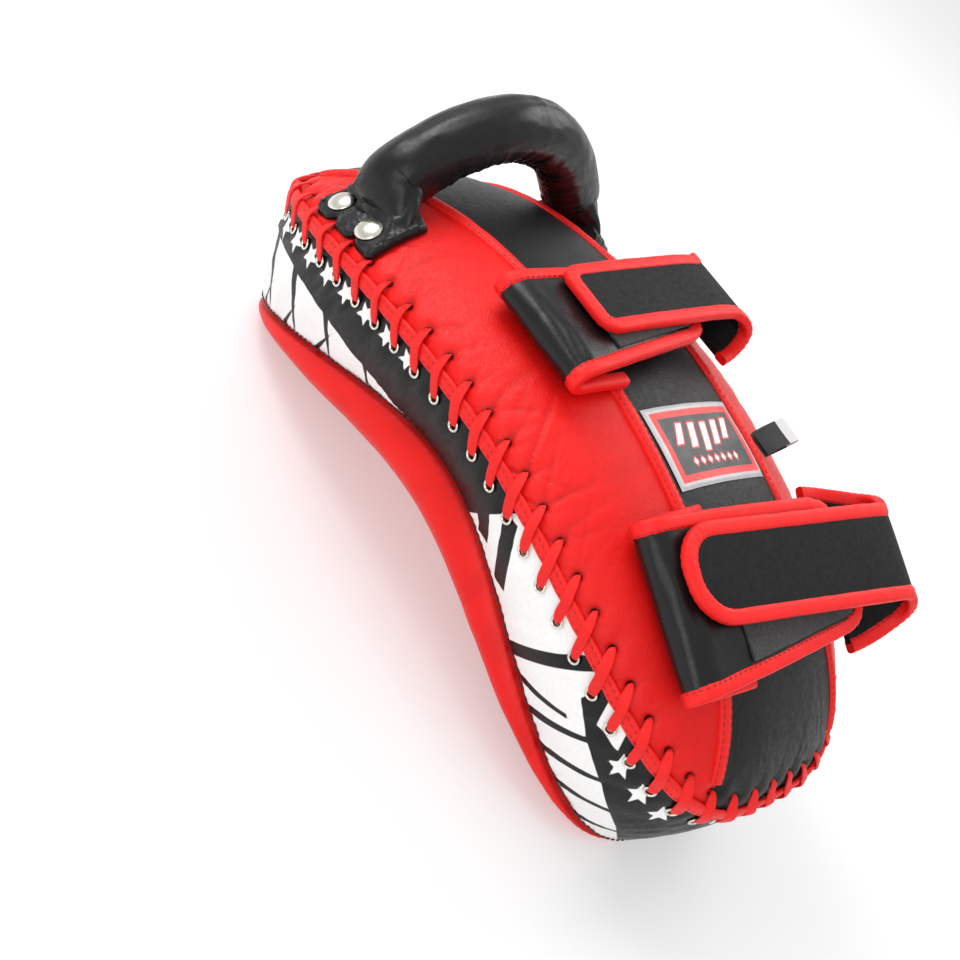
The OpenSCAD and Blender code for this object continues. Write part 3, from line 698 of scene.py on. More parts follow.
for side, word, first in ((-1, "left", 0.25), (1, "right", 0.75)):
    share = first + 0.5 * np.linspace(0, 1, 560)
    a = angle_at(share)[:, None]
    top = 1.2 / wall_depth(a)
    v = mix(top, 1.0, np.linspace(0, 1, 58)[None])
    p = wall_point(a * np.ones_like(v), v)
    n = grid_normals(p)
    n *= np.sign((n[..., :2] * p[..., :2]).sum(-1, keepdims=True))
    past = share - first if side < 0 else first + 0.5 - share
    way = (past * EDGE_LEN)[:, None] * np.ones_like(v)
    depth = v * wall_depth(a)
    up = (1 - v) * wall_depth(a)
    _, r = nearest(eyelet_tree, p)
    s = (share * EDGE_LEN)[:, None]
    h = -1.1 * bell(r, 3.6) + 0.7 * bell(depth - 13, 9) * (1 + np.cos(TAU * (s / PITCH - 0.1))) / 2
    h = h - 1.6 * bell(up, 1.7) - 0.35 * bell(up, 7) * (1 + np.cos(TAU * s / 4.3)) / 2
    h = h + 0.4 * lattice(31, s / 9 + depth / 14, depth / 20)
    h = h + 0.25 * lattice(32, s / 3.5 + depth / 9, depth / 16)
    h = h - 1.4 * bell(way, 1.6) - 1.4 * bell(EDGE_LEN / 2 - way, 1.6)
    ink = ink_at(points(way, v * PRINT_DEPTH), side)
    for spot in vent_at:
        d = np.linalg.norm(p - spot, axis=-1)
        h = h * smooth(8, 12, d) - 3.0 * (1 - smooth(5.6, 7.2, d))
        ink = np.where(d < 6.8, -3, ink)
    # the eyelet values paint near-black hole shade into the wall's colour
    piece(f"side_wall_{word}", sheet(p + h[..., None] * n, p - SKIN * n), printed_leather, "printed_leather",
          replaces=[f"gusset_{word}"], ink=two_sided(ink), relief=two_sided(h), hole=two_sided(bell(r, 2.2)))

turn = angle_at(np.linspace(0, 1, 1200, endpoint=False))
full = np.append(turn, turn[0])
low = np.full(full.shape, 0.965)
low_n = wall_normal(full, low)
piece("strike_seam_stitches",
      stitch_row(wall_point(full, low) + 0.2 * low_n, low_n, pitch=4.0, length=3.0, radius=0.45),
      black_thread, "black_leather")
end_rows = []
for first in (0.25, 0.75):
    for off in (-2.6, 2.6):
        a = angle_at(np.full(60, first + off / EDGE_LEN))
        v = np.linspace(0.24, 0.93, 60)
        n = wall_normal(a, v)
        end_rows.append(stitch_row(wall_point(a, v) + 0.35 * n, n))
piece("end_seam_stitches", join(end_rows), black_thread, slot="black_leather")


# ---- Strike cushion ----

rings = 64
b = math.pi / 2 * np.linspace(0, 0.985, rings)[:, None]
a = turn[::3][None]
ones = np.ones_like(a * b)
outer = strike_point(a * ones, b * ones)
n = grid_normals(outer, wrap=True)
n *= np.sign((n * (outer - [0, 0, 60])).sum(-1, keepdims=True))
reach = np.linalg.norm(outer - outer[:1], axis=-1)
s = np.linspace(0, EDGE_LEN, a.shape[1], endpoint=False)[None]
h = -1.5 * bell(reach, 2.0) - 0.3 * bell(reach, 8) * (1 + np.cos(TAU * s / 4.3)) / 2
h = h + 0.5 * lattice(41, s / 11, reach / 16) * np.exp(-reach / 22) * smooth(2, 9, reach)
h = h + 0.7 * lattice(42, outer[..., 0] / 45, outer[..., 1] / 55) * smooth(10, 40, reach)
outer = outer + h[..., None] * n
outer[..., 2] = np.maximum(outer[..., 2], 0)
inner = strike_point(a * ones, b * ones, SKIN)
# relief values for the painted shade: the outer rows' sinking, and zero on the inner rows
values = np.concatenate([h[::-1].ravel(), h.ravel() * 0, [0, 0]])
cushion = piece("strike_cushion", tube(np.concatenate([outer[::-1], inner])), strike_leather, "red_leather",
                replaces=["strike_face"], relief=values)


# ---- Binding, lace and eyelets on the edge ----

share = np.linspace(0, 1, STITCHES * 16, endpoint=False)
a = angle_at(share)
cross_at = np.mod(share * STITCHES - 0.3, 1)
pinch = bell(np.minimum(cross_at, 1 - cross_at), 0.22)
wrinkle = 0.25 * lattice(51, share * STITCHES * 3, share * 0)
section = sized(oval(1, 1, 0.75, 16), 7.4 - 1.1 * pinch + wrinkle, 3.3 - 0.7 * pinch + wrinkle)
piece("edge_binding_strip", sweep(edge_point(a, 1.2) + [0, 0, 0.4], edge_out(a), section, closed=True),
      red_trim, "red_trim", replaces=["edge_binding"])
rows = []
q = np.append(a, a[0])
for low in (-1.3, 2.3):
    rows.append(stitch_row(edge_point(q, 2.75) + [0, 0, low], edge_out(q), 3.4, 2.2, 0.36))
piece("edge_binding_stitches", join(rows), red_thread, slot="red_trim")

_draw = np.random.default_rng(5)


def spline(control, n):
    """Smooth curve of n points through control points, passing evenly through each."""
    control = np.asarray(control, float)
    u = np.linspace(0, len(control) - 1, n)
    i = np.minimum(u.astype(int), len(control) - 2)
    f = (u - i)[:, None]
    p = [control[np.clip(i + k, 0, len(control) - 1)] for k in (-1, 0, 1, 2)]
    return 0.5 * (2 * p[1] + (p[2] - p[0]) * f + (2 * p[0] - 5 * p[1] + 4 * p[2] - p[3]) * f ** 2
                  + (3 * p[1] - p[0] - 3 * p[2] + p[3]) * f ** 3)


strands = []
up = np.array([0, 0, 1.0])
for i in range(STITCHES):
    a0, a1, a2, a3, a4 = (angle_at((i + k) / STITCHES) for k in (0.0, 0.13, 0.3, 0.47, 0.6))
    sway = _draw.uniform(-0.5, 0.5)
    control = [hole_point(a0, -2.4), hole_point(a0, 0.5), edge_point(a1, 1.5) + up * 5.4,
               edge_point(a2 + 0.004 * sway, 3.7) + up * 0.8, eyelet_point(a3, 2.3, 5.6),
               eyelet_point(a4, 0.9, 10.2), eyelet_point(a4, -2.4)]
    path = spline(control, 30)
    t = np.linspace(0, 1, 30)
    wide = (5.1 + _draw.uniform(-0.3, 0.4)) * (0.30 + 0.70 * smooth(0.02, 0.36, t) * smooth(1.0, 0.66, t))
    thick = 1.15 * (0.8 + 0.2 * np.sin(math.pi * t))
    centre = edge_point(a2, -12.0)
    twist = 0.12 * _draw.uniform(-1, 1)
    out = unit(path - centre + twist * 6 * up)
    strands.append(sweep(path, out, sized(oval(1, 1, 0.6, 12), wide, thick)))
piece("lace_strands", join(strands), red_lace, slot="red_lace", replaces=["lace"])

EYELET = [(2.0, -0.9), (2.0, 0.45), (2.25, 0.85), (2.7, 1.0), (3.15, 0.75), (3.3, 0.15), (3.0, -0.2),
          (2.3, -0.9)]
eyelet_up = wall_normal(eyelet_angles, EYELET_DROP / wall_depth(eyelet_angles))
piece("eyelet_rings", join(lathe(EYELET, p, n, 20) for p, n in zip(eyelet_spots, eyelet_up)), nickel,
      "nickel", replaces=["lace_eyelets"])


# ---- Vents ----

GROMMET = [(6.1, -3.6), (6.1, 0.7), (6.5, 1.6), (7.4, 2.15), (8.6, 2.0), (9.6, 1.3), (10.0, 0.5), (9.8, 0.1),
           (7.0, 0.0), (6.7, -3.6)]
piece("vent_rims", join(lathe(GROMMET, p, n, 56) for p, n in zip(vent_at, vent_up)), nickel, slot="nickel",
      replaces=["vent_grommets"])


def weave_disc(at, normal, radius):
    """Round patch of wires that pass over and under each other."""
    z = unit(normal)
    x = unit(np.cross(z, [0.3, 0.9, 0.1]))
    y = np.cross(z, x)
    wires = []
    for k in range(-5, 6):
        c = k * 1.1
        reach_ = math.sqrt(max(radius ** 2 - c * c, 0.2))
        t = np.linspace(-reach_, reach_, 48)
        for u, w, sign in ((x, y, 1), (y, x, -1)):
            wave = sign * (1 if k % 2 else -1) * 0.22 * np.cos(math.pi * t / 1.1)
            path = at + t[:, None] * u + c * w + (wave - 1.6)[:, None] * z
            wires.append(sweep(path, np.broadcast_to(z, path.shape), oval(0.5, 0.34, 0.9, 6)))
    return join(wires)


piece("vent_weaves", join(weave_disc(p, n, 6.3) for p, n in zip(vent_at, vent_up)), vent_weave, "vent_mesh",
      replaces=["vent_meshes"])


# ---- Handle ----

HANDLE_Z = float(back_z(HANDLE_A, HANDLE_Y)) + 10
ACROSS = unit(np.array([0, 1, -HANDLE_LEAN]))
RING = 88


def arch(a):
    return points(-HANDLE_A * np.cos(a), HANDLE_Y + HANDLE_LEAN * HANDLE_H * np.sin(a),
                  HANDLE_Z + HANDLE_H * np.sin(a) ** HANDLE_RISE)


# Each row: distance from the middle, place along the pad, height over it, half sizes along and through
FOOT = ((80.0, 124.2, 0.8, 22.5, 2.4), (78.8, 124.8, 4.2, 21.8, 4.8), (77.4, 126.4, 8.4, 20.2, 8.4),
        (75.0, 129.3, 12.2, 18.2, 12.0))
# Each row: angle along the arch, half sizes along and through
BAR = ((23, 17.0, 14.8), (30, 16.6, 16.2), *((q, HANDLE_R, HANDLE_R) for q in (38, 46, 55, 64, 73, 82, 90)))
keys = [(points(-x0, y0, back_z(x0, y0) + rise), wide, thick) for x0, y0, rise, wide, thick in FOOT]
keys += [(arch(math.radians(q)), wide, thick) for q, wide, thick in BAR]
n_half = 150
centre = spline([k[0] for k in keys], n_half)
sizes = spline([(k[1], k[2]) for k in keys], n_half)
way = along_of(centre)
across = unit(ACROSS - (way @ ACROSS)[:, None] * way)
outward = unit(np.cross(across, way))
outward *= np.sign(outward[:1] @ np.array([-1.0, 0, 0.3]))[:, None]
g = np.arange(RING) / RING * TAU
far = measure(centre)[:, None]
top_far = far[-1, 0]
in_side = np.clip(-np.sin(g), 0, 1)[None]
_draw = np.random.default_rng(17)
h = 0.35 * lattice(61, far / 14, 4 * np.cos(g)[None] + 9)
h = h + 0.2 * lattice(62, far / 7, 7 * np.sin(g)[None] + 20)
for k in range(26):
    c, w = _draw.uniform(26, top_far + 4), _draw.uniform(0.9, 2.0)
    d, slant = _draw.uniform(0.3, 0.95), _draw.uniform(-5, 5)
    h = h - d * fold((far - c - slant * np.cos(g)[None]) / w, 0.5, 1.6) * in_side ** 1.3
for k in range(10):
    c, w = _draw.uniform(0, TAU), _draw.uniform(0.09, 0.18)
    d, long = _draw.uniform(0.2, 0.7), _draw.uniform(9, 20)
    dg = np.mod(g[None] - c + math.pi, TAU) - math.pi
    h = h - d * fold(dg / w, 0.5, 2.2) * bell(far - 10, long)
seam_g = TAU * 0.71
dg = np.mod(g[None] - seam_g + math.pi, TAU) - math.pi
h = h + 0.9 * smooth(-0.10, -0.03, dg) * (1 - smooth(0.0, 0.5, dg)) * smooth(14, 30, far)
h = h * smooth(-1, 5, far)
half_rings = (centre[:, None] + (sizes[:, :1] * np.cos(g) + h * np.cos(g))[..., None] * across[:, None]
              + (sizes[:, 1:2] * np.sin(g) + h * np.sin(g))[..., None] * outward[:, None])
mirror = half_rings[:-1][::-1] * [-1, 1, 1]
handle_rings = np.concatenate([half_rings, mirror])
relief = np.concatenate([h.ravel(), h[:-1][::-1].ravel(), [0, 0]])
HANDLE_BLEND = ("pad", "handle", (0, HANDLE_Y * MM, (HANDLE_Z - 3) * MM),
                (0, (HANDLE_Y + 5) * MM, (HANDLE_Z + 20) * MM))
grip = piece("handle_grip", tube(handle_rings), glossy_black, body=HANDLE_BLEND, slot="black_leather",
             replaces=["handle_cover"], relief=relief)
seam_col = int(round((seam_g - 0.02) / TAU * RING)) % RING
row = handle_rings[24:-24, seam_col]
row_up = unit(row - np.concatenate([centre, centre[:-1][::-1] * [-1, 1, 1]])[24:-24])
piece("handle_stitches", stitch_row(row + 0.15 * row_up, row_up, pitch=3.8, length=2.6, radius=0.4),
      black_thread, "black_leather", body=HANDLE_BLEND)

TAB_Y, TAB_L, TAB_T = 124.0, 46.0, 3.5
RIVET_Y = (113.0, 139.0)
rivet_at, rivet_up = [], []
for side in (-1, 1):
    for y0 in RIVET_Y:
        x0 = side * (half_width(y0) - 9.2)
        rivet_at.append(back_point(x0, y0))
        rivet_up.append(back_normal(x0, y0))

tab_rows = []
for side, word in ((-1, "left"), (1, "right")):
    j = np.linspace(0, 1, 72)[:, None]
    y = TAB_Y + TAB_L * (j - 0.5)
    f = np.linspace(0, 1, 64)[None]
    edge_x = half_width(y) - 2.4
    holes_y = hole_spots[np.sign(hole_spots[:, 0]) == side][:, 1]
    notch = sum(bell(y - q, 2.6) for q in holes_y)
    x = mix(69.0, edge_x - 2.6 * np.clip(notch, 0, 1), f)
    yy = y + 6.0 * (f - 0.2) * (j - 0.5)
    p = back_point(side * x, yy * np.ones_like(x))
    n = back_normal(side * x, yy * np.ones_like(x))
    rim = np.maximum(bell(j, 0.07), bell(1 - j, 0.07)) * smooth(0, 0.2, f)
    tuck = 2.2 * (np.maximum(np.maximum(bell(j, 0.018), bell(1 - j, 0.018)), bell(1 - f, 0.03)))
    foot_line = 79.0 - 0.235 * (yy - 124)
    climb = (1 - smooth(foot_line - 3, foot_line + 5, x)) * smooth(0.02, 0.2, j) * smooth(0.98, 0.8, j)
    h = 1.1 * rim - tuck + 4.5 * climb + 0.55 * lattice(71 + side, f * 9, j * 7)
    h = h + 0.35 * lattice(73 + side, f * 19 + j * 5, j * 14)
    for q in rivet_at:
        d = np.linalg.norm(p - q, axis=-1)
        h = h * smooth(5.5, 11, d) - 0.5 * bell(d, 8.5)
    outer, inner = p + (TAB_T + 0.3 + h)[..., None] * n, p + 0.2 * n
    piece(f"handle_tab_leather_{word}", sheet(outer, inner), glossy_black, "black_leather",
          replaces=[f"handle_tab_{word}"], relief=two_sided(h, 0))
    for k in (4, 67):
        line, line_n = outer[k, 6:-5], n[k, 6:-5]
        tab_rows.append(stitch_row(line + 0.12 * line_n, line_n, pitch=3.2, length=2.2, radius=0.36))
piece("handle_tab_stitches", join(tab_rows), black_thread, slot="black_leather")

DOME = [(0.02, 6.4), (1.6, 6.33), (3.2, 6.05), (4.7, 5.55), (5.9, 4.95), (6.6, 4.45), (6.95, 4.1), (7.0, 3.7),
        (6.6, 3.3), (2.4, 3.2), (1.9, 2.6), (1.9, -3.8), (0.02, -3.8)]
piece("rivet_caps", join(lathe(DOME, p, n, 56, closed=False) for p, n in zip(rivet_at, rivet_up)), nickel,
      slot="nickel", replaces=["handle_rivets"])


# ---- Label and side tag ----

LABEL_W, LABEL_H, LABEL_Y = 74.0, 42.0, -47.0


def label_material():
    """Satin label: silver margin, red border, black field with plain bars and a row of dots."""
    mat, nt, bsdf = shader("label")
    x, y = attribute(nt, "label_x"), attribute(nt, "label_y")

    def edge(socket, size):
        off = add(nt, "ShaderNodeMath", {"operation": "ABSOLUTE"}, _0=socket).outputs[0]
        return ramp(nt, off, size - 0.15, size + 0.15)

    def larger(a, b):
        return add(nt, "ShaderNodeMath", {"operation": "MAXIMUM"}, _0=a, _1=b).outputs[0]

    at = add(nt, "ShaderNodeTexCoord").outputs["Object"]
    mottle = add(nt, "ShaderNodeTexNoise", Vector=at, Scale=160.0, Detail=3.0).outputs["Fac"]
    silver = blend_colour(nt, mottle, rgba(0.62, 0.63, 0.64), rgba(0.40, 0.41, 0.42))
    border = larger(edge(x, 34.0), edge(y, 18.0))
    field = larger(edge(x, 30.5), edge(y, 14.5))
    colour = blend_colour(nt, field, rgba(0.012, 0.013, 0.014), rgba(0.78, 0.012, 0.01))
    colour = blend_colour(nt, border, colour, silver)
    mark = attribute(nt, "mark")
    colour = blend_colour(nt, ramp(nt, mark, -0.9, -0.7), colour, rgba(0.7, 0.012, 0.01))
    colour = blend_colour(nt, ramp(nt, mark, -0.15, 0.15), colour, rgba(0.82, 0.82, 0.82))
    nt.links.new(colour, bsdf.inputs["Base Color"])
    nt.links.new(ramp(nt, mottle, 0.3, 0.7, 0.24, 0.4), bsdf.inputs["Roughness"])
    weave = add(nt, "ShaderNodeTexWave", Vector=at, Scale=700.0, Distortion=1.0).outputs["Fac"]
    roughen(nt, bsdf, weave, 0.15, 0.0002)
    return mat


u = np.linspace(-0.5, 0.5, 150)[None]
w = np.linspace(-0.5, 0.5, 90)[:, None]
lx, ly = LABEL_W * u * np.ones_like(w), LABEL_H * w * np.ones_like(u)
worn = np.maximum(bell(abs(lx) - LABEL_W / 2, 1.0), bell(abs(ly) - LABEL_H / 2, 1.0))
lift = 0.95 + 0.25 * lattice(81, lx / 12, ly / 12) - 0.55 * worn
marks = []
for k in range(5):
    c = -20.0 + 10 * k
    rise = 2.5 * math.cos(k * math.pi / 2)
    low, high = -2.0 + rise, 10.5 + rise * 0.2
    marks.append([(c - 5.5, low), (c - 0.8, low), (c + 5.5, high), (c + 0.8, high)])
for k in range(7):
    c = -18.0 + 6 * k
    marks.append([(c - 1.7, -9.0), (c, -10.9), (c + 1.7, -9.0), (c, -7.1)])
mark = np.max([inside(points(lx, ly), [(q, r / PRINT_DEPTH) for q, r in m]) for m in marks], axis=0)
piece("front_label", sheet(back_point(lx, ly + LABEL_Y, lift), back_point(lx, ly + LABEL_Y, 0.25)),
      label_material(), "label", replaces=["label_patch"], label_x=two_sided(lx), label_y=two_sided(ly),
      mark=two_sided(mark))


def tag_material():
    mat, nt, bsdf = shader("side_tag_weave")
    t = attribute(nt, "tag_t")
    at = add(nt, "ShaderNodeTexCoord").outputs["Object"]
    weave = add(nt, "ShaderNodeTexWave", Vector=at, Scale=1200.0, Distortion=1.5).outputs["Fac"]
    light = blend_colour(nt, weave, rgba(0.75, 0.75, 0.74), rgba(0.55, 0.55, 0.55))
    low = add(nt, "ShaderNodeMath", {"operation": "COMPARE"}, _0=t, _1=0.5, _2=0.17).outputs[0]
    nt.links.new(blend_colour(nt, low, rgba(0.013, 0.013, 0.014), light), bsdf.inputs["Base Color"])
    roughen(nt, bsdf, weave, 0.4, 0.0002)
    bsdf.inputs["Roughness"].default_value = 0.6
    return mat


TAG_Y = -52.0
root = back_point(strip_half(TAG_Y) + 3.2, TAG_Y, 1.4)
tilt = math.radians(22)
tag_x = np.array([math.cos(tilt), 0, math.sin(tilt)])
tag_z = np.array([-math.sin(tilt), 0, math.cos(tilt)])
curve = spline([(0, 0.6), (7, 1.0), (14, 1.9), (19, 3.1), (20.6, 4.2), (19, 5.4), (13, 5.3), (6, 4.2),
                (0.5, 2.4)], 60)
path = root + curve[:, :1] * tag_x + curve[:, 1:] * tag_z
tag_len = measure(path)
y_dir = np.array([0, 1.0, 0])
n_dir = unit(np.cross(along_of(path), y_dir))
grid_v = np.linspace(-7, 7, 12)
ripple = 0.3 * np.sin(tag_len / 4)[:, None] * np.cos(grid_v / 4)[None]
middle = path[:, None] + grid_v[None, :, None] * y_dir
outer, inner = (middle + (k + ripple)[..., None] * n_dir[:, None] for k in (0.3, -0.3))
tag_t = np.repeat(np.clip(tag_len / tag_len[-1], 0, 1), len(grid_v))
piece("folded_tag", sheet(outer, inner), tag_material(), "tag", replaces=["side_tag"], tag_t=two_sided(tag_t))


# ---- Cuffs ----

STRAP_T, TONGUE_T, FLAP_T = 4.0, 3.0, 3.4      # the far strap is one leather of FLAP_T from seam to tip
TRIM_W, TRIM_OVER, TRIM_INSET = 7.2, 1.7, 2.6  # width, extra thickness, and where its middle lies
TUCK, TAPE_INSET = 3.5, 7.0                    # how far the leather and the tapes stop inside the edge
# Each line holds (x, height over the crown) along a strap's middle. Half widths are at both ends,
# and the shift along the pad is at the middle and for each millimetre of x.
UPPER = dict(
    word="upper", y=19.0,
    near=[(-41, 0.5), (-58, -1), (-74, -3), (-77.5, 2), (-72, 6.5), (-54, 9.5), (-28, 13), (0, 15.5),
          (24, 16.5)],
    far=[(47, 4.5), (54, 7.5), (59.5, 13), (60, 19), (55, 24), (47.5, 25.6)],
    tongue=[(45.5, 25.8), (30, 25.4), (8, 23.2), (-16, 20.8), (-36, 18.4), (-54, 16)],
    near_half=(33, 20), far_half=(32, 20), tongue_half=19.5, tongue_r=9.0, fold=(46.5, 25.75),
    shift=(4.5, 0.0))
LOWER = dict(
    word="lower", y=-117.0,
    near=[(-41, 0.5), (-60, -2.5), (-78, -8), (-84, -2), (-79, 4), (-60, 8.5), (-32, 14.5), (0, 20.5),
          (28, 25.5)],
    far=[(47, 4.5), (57, 8), (66, 15), (70, 23), (68, 31), (60.5, 36.2)],
    tongue=[(58, 36.9), (42, 35.6), (14, 30.4), (-14, 24.8), (-44, 18.6), (-80, 11)],
    near_half=(41, 30), far_half=(41, 23), tongue_half=22.0, tongue_r=20.0, fold=(59.25, 36.6),
    shift=(3.1, -0.108))


def cuff_axes(c):
    """Origin, direction along the pad and direction up, at a cuff."""
    y0 = c["y"]
    t = math.atan((back_z(0.0, y0 + 5) - back_z(0.0, y0 - 5)) / 10)
    return (np.array([0, y0, back_z(0.0, y0)]), np.array([0, math.cos(t), math.sin(t)]),
            np.array([0, -math.sin(t), math.cos(t)]))


class Strap:
    """A strap that follows a side profile, given by (length along it, distance across it, lift)."""

    X = np.array([1.0, 0, 0])

    def __init__(self, c, line, halves=None, shift=(0.0, 0.0), flip=1):
        self.o, self.vdir, self.hdir = cuff_axes(c)
        self.line = spline(line, 700)
        self.s = measure(self.line)
        self.length = self.s[-1]
        self.flip, self.shift = flip, shift
        if halves:
            self.taper(self.length, *halves)

    def taper(self, end, low, high, tip=None):
        """Half widths from low at the root to high at length end, then to tip where there is one."""
        t = np.linspace(0, 1, 40)
        s, w = end * t, mix(low, high, t ** 1.5)
        self.widths = (s, w) if tip is None else (np.append(s, self.length), np.append(w, tip))

    def at(self, s, v, lift):
        s, v, lift = np.broadcast_arrays(s, v, lift)
        x, h = (np.interp(s, self.s, self.line[:, i]) for i in (0, 1))
        tx, th = self.way(s)
        x, h = x - th * lift * self.flip, h + tx * lift * self.flip
        v = v + self.shift[0] + self.shift[1] * x
        return self.o + x[..., None] * self.X + v[..., None] * self.vdir + h[..., None] * self.hdir

    def way(self, s):
        d = 1.5
        e = [[np.interp(s + k * d, self.s, self.line[:, i]) for i in (0, 1)] for k in (-1, 1)]
        t = unit(points(e[1][0] - e[0][0], e[1][1] - e[0][1]))
        return t[..., 0], t[..., 1]

    def normal(self, s):
        tx, th = self.way(s)
        return (-th * self.flip)[..., None] * self.X + (tx * self.flip)[..., None] * self.hdir

    def half(self, s):
        return np.interp(s, *self.widths)


def border(strap, inset, r):
    """The strap's outline, drawn in by inset, as (length, across): down one side, round its end and back."""
    end, r = strap.length - inset, max(r - inset, 0.5)
    s = np.linspace(0, end - r, 90)
    w = strap.half(end) - inset
    a = np.linspace(0, math.pi / 2, 24)
    side = np.concatenate([np.stack([s, -(strap.half(s) - inset)], -1),
                           np.stack([end - r + r * np.sin(a), -(w - r + r * np.cos(a))], -1)])
    return spaced(np.concatenate([side, (side * [1, -1])[::-1]]), 1.2)[0]


def plan_half(strap, inset, r, s):
    """Half width of the strap's leather at length s, rounded at its end."""
    end, rr = strap.length - inset, max(r - inset, 0.5)
    d = np.clip(s - (end - rr), 0, rr)
    return strap.half(np.minimum(s, end)) - inset - rr + np.sqrt(np.maximum(rr * rr - d * d, 0))


def body_of_strap(strap, r, inset, cols, seed, low, high, puff=0.0, creases=(), start=0.0):
    """Leather or tape between two lifts off a strap's middle, softly filled, with creases where it folds."""
    s = mix(start, strap.length - inset, np.sin(math.pi / 2 * np.linspace(0, 1, 150)))[:, None]
    f = np.sin(math.pi / 2 * np.linspace(-1, 1, cols))[None]
    v = plan_half(strap, inset, r, s) * f
    crown = puff * (1 - abs(f) ** 3)
    h = crown + 0.35 * lattice(seed, s / 16, v / 13) + 0.15 * lattice(seed + 1, s / 6, v / 5)
    rng = np.random.default_rng(seed)
    for where, spread, count, deep in creases:
        for _ in range(count):
            c, wide, lean = rng.normal(where, spread), rng.uniform(1.6, 3.6), rng.uniform(-0.25, 0.25)
            mid, long = rng.uniform(-0.8, 0.8), rng.uniform(0.4, 1.0)
            h = h - deep * rng.uniform(0.4, 1.0) * fold((s - c - lean * v) / wide) * bell(f - mid, long)
    inner = strap.at(s, v, low - puff * 0.5 * (1 - f ** 4))
    return sheet(strap.at(s, v, high + h), inner), two_sided(h - crown, 0)


def binding_of_strap(strap, thick, r, seed):
    """Rounded leather binding along a strap's edges, and the thread on its inner side."""
    s, v = border(strap, TRIM_INSET, r).T
    path, up = strap.at(s, v, 0.0), strap.normal(s)
    far_ = measure(path)
    bend = np.linalg.norm(np.gradient(along_of(path), axis=0), axis=1)
    pucker = 0.35 * np.clip(bend * 12, 0, 1) * np.sin(far_ * TAU / 3.4)
    pucker = pucker + 0.2 * lattice(seed, far_ / 5, far_ * 0)
    section = sized(oval(1, 1, 0.55, 16), TRIM_W + pucker, thick + TRIM_OVER + 0.8 * pucker)
    toward = unit(np.cross(along_of(path), up))
    mid = strap.at(np.minimum(s, strap.length - r), s * 0, 0.0)
    toward *= np.sign(((mid - path) * toward).sum(-1, keepdims=True))
    edge_line = path + 2.3 * toward + (thick / 2 + 0.75) * up
    return sweep(path, up, section), stitch_row(edge_line, up, pitch=3.3, length=2.3, radius=0.4)


NEAR_R = 12.0                          # radius of a near flap's corners
LEAN = np.array([-0.406, 0.914])       # way from strap to tongue across the fold, in x and height
for c in (UPPER, LOWER):
    word, tip_r = c["word"], c["tongue_r"]
    near = Strap(c, c["near"], c["near_half"])
    fold_s = near.s[np.argmin(near.line[:, 0])]
    part, relief = body_of_strap(near, NEAR_R, TUCK, 64, 91 + len(word), -STRAP_T / 2, STRAP_T / 2, 0.7,
                                 [(fold_s, 8, 7, 0.45), (fold_s * 1.5, 14, 4, 0.25)])
    piece(f"{word}_near_leather", part, glossy_black, "black_leather", replaces=[f"{word}_near_flap"],
          relief=relief)
    body, threads = binding_of_strap(near, STRAP_T, NEAR_R, 95)
    piece(f"{word}_near_trim", body, red_trim, "red_trim", replaces=[f"{word}_near_binding"])
    piece(f"{word}_near_thread", threads, red_thread, "red_trim")
    part, relief = body_of_strap(near, NEAR_R, TAPE_INSET, 60, 97, STRAP_T / 2 + 0.2, STRAP_T / 2 + 1.35,
                                 start=near.length * 0.5)
    piece(f"{word}_loop_tape_pile", part, loop_pile, "loop_tape", replaces=[f"{word}_loop_tape"])

    far_len = Strap(c, c["far"]).length
    far = Strap(c, c["far"][:-1] + [c["fold"]] + c["tongue"][1:], shift=c["shift"])
    far.taper(far_len, *c["far_half"], c["tongue_half"])
    origin, _, height = cuff_axes(c)
    ends = [np.array(c["fold"]) + k * LEAN for k in (-6, 6)]
    ends = [tuple((origin + q[0] * Strap.X + q[1] * height) * MM) for q in ends]
    blend = (f"{word}_strap", f"{word}_tongue", *ends)
    part, relief = body_of_strap(far, tip_r, TUCK, 60, 101 + len(word), -FLAP_T / 2, FLAP_T / 2, 0.45,
                                 [(far_len * 0.6, 12, 8, 0.4), (far_len, 6, 3, 0.3)])
    piece(f"{word}_strap_leather", part, matte_black, "black_leather", body=blend,
          replaces=[f"{word}_far_flap", f"{word}_tongue"], relief=relief)
    body, threads = binding_of_strap(far, FLAP_T, tip_r, 105)
    piece(f"{word}_strap_trim", body, red_trim, "red_trim", body=blend,
          replaces=[f"{word}_far_binding", f"{word}_tongue_binding"])
    piece(f"{word}_strap_thread", threads, red_thread, "red_trim", body=blend)
    tongue = Strap(c, c["tongue"], (c["tongue_half"], c["tongue_half"]), c["shift"], flip=-1)
    part, _ = body_of_strap(tongue, tip_r, TAPE_INSET, 50, 107, -(TONGUE_T / 2 + 1.2),
                            -(TONGUE_T / 2 + 0.1), start=tongue.length * 0.4)
    piece(f"{word}_hook_tape_pile", part, hook_pile, "hook_tape", body=f"{word}_tongue",
          replaces=[f"{word}_hook_tape"])


# ---- What stays from the CAD ----

KEPT = [(node, foam, "foam") for node in ("strike_foam", "core_foam", "backing_foam", "handle_padding")]
for node, material, slot in KEPT + [("handle_core", rope, "rope"), ("rivet_washers", nickel, "nickel")]:
    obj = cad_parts[node]
    obj.data.materials.clear()
    obj.data.materials.append(material)


# ---- Floor, light and camera ----

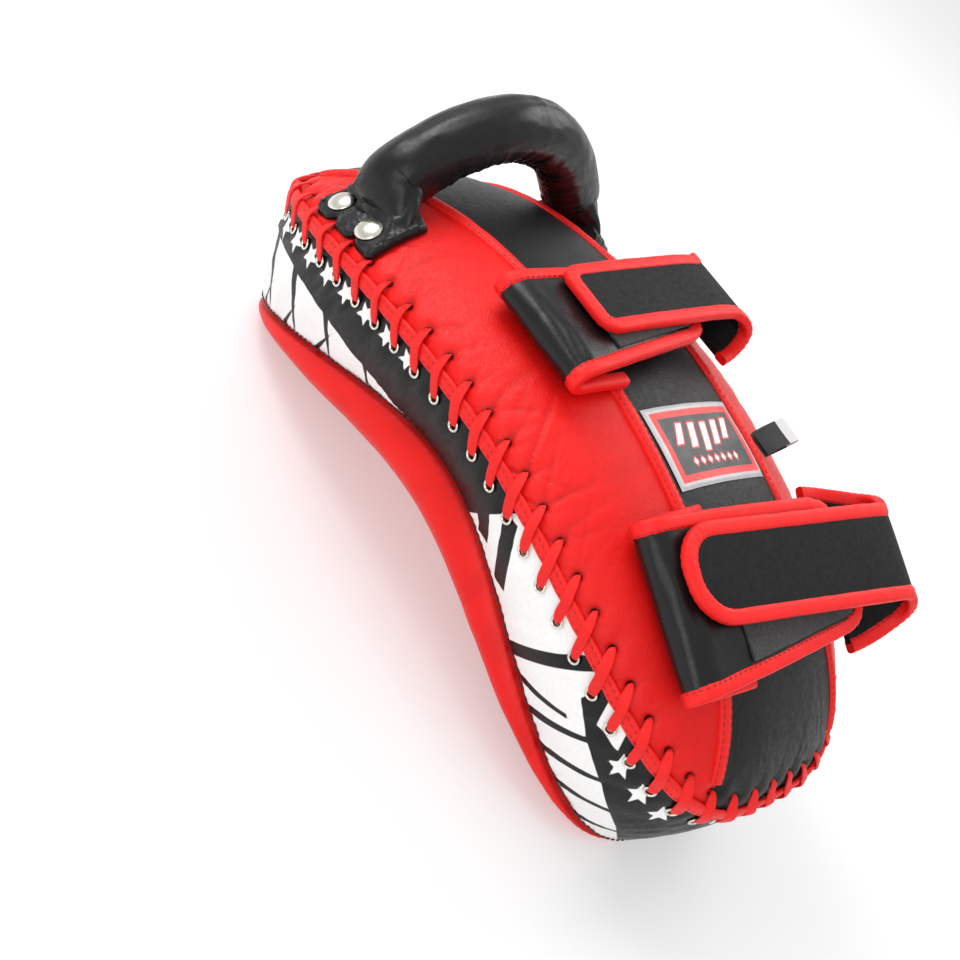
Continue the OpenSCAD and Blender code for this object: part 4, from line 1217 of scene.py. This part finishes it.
def floor_material():
    mat, nt, bsdf = shader("floor")
    at = add(nt, "ShaderNodeTexCoord").outputs["Object"]
    cloud = add(nt, "ShaderNodeTexNoise", Vector=at, Scale=0.6, Detail=2.0).outputs["Fac"]
    tint = blend_colour(nt, cloud, rgba(0.52, 0.52, 0.52), rgba(0.50, 0.50, 0.505))
    nt.links.new(tint, bsdf.inputs["Base Color"])
    bsdf.inputs["Emission Color"].default_value = rgba(1.0, 1.0, 1.0)
    bsdf.inputs["Emission Strength"].default_value = 0.40
    bsdf.inputs["Roughness"].default_value = 0.7
    return mat


floor_mesh = bpy.data.meshes.new("floor")
FLOOR, BELOW = 30.0, -0.0005
floor_mesh.from_pydata([(FLOOR * i, FLOOR * j, BELOW) for i, j in ((-1, -1), (1, -1), (1, 1), (-1, 1))], [],
                       [(0, 1, 2, 3)])
floor = bpy.data.objects.new("floor", floor_mesh)
bpy.context.scene.collection.objects.link(floor)
floor_mesh.materials.append(floor_material())

world = bpy.data.worlds.new("studio")
bpy.context.scene.world = world
world.use_nodes = True
sky = world.node_tree.nodes["Background"].inputs
sky["Color"].default_value = rgba(1.0, 1.0, 1.0)
sky["Strength"].default_value = 0.75


def stand(obj, x, y, z, place):
    """Place an object by its three axes and its origin."""
    obj.matrix_world = Matrix([[float(q[i]) for q in (x, y, z, place)] for i in range(3)] + [[0, 0, 0, 1]])


def softbox(name, place, aim, size, power):
    lamp = bpy.data.lights.new(name, "AREA")
    lamp.shape, lamp.size, lamp.energy = "SQUARE", size, power
    obj = bpy.data.objects.new(name, lamp)
    bpy.context.scene.collection.objects.link(obj)
    z = unit(np.array(place) - np.array(aim))
    x = unit(np.cross([0, 0, 1.0], z))
    stand(obj, x, np.cross(z, x), z, place)


softbox("key", (-0.35, 1.1, 1.25), (0, 0.02, 0.1), 0.9, 16)
softbox("fill", (-1.3, -0.6, 0.9), (0, 0, 0.1), 1.0, 7)
softbox("back", (1.2, 0.2, 1.2), (0, 0, 0.1), 0.8, 7)

camera_data = bpy.data.cameras.new("camera")
camera_data.lens, camera_data.sensor_width = 55.0, 36.0
camera = bpy.data.objects.new("camera", camera_data)
bpy.context.scene.collection.objects.link(camera)
right, above, behind = (0.6338, -0.5077, 0.5836), (0.0951, 0.7999, 0.5925), (-0.7676, -0.3200, 0.5553)
place = (-0.5993, -0.2282, 0.4567)
stand(camera, right, above, behind, place)
camera_data.clip_start, camera_data.clip_end = 0.01, 100.0
bpy.context.scene.camera = camera
bpy.context.scene.view_settings.view_transform = "Standard"
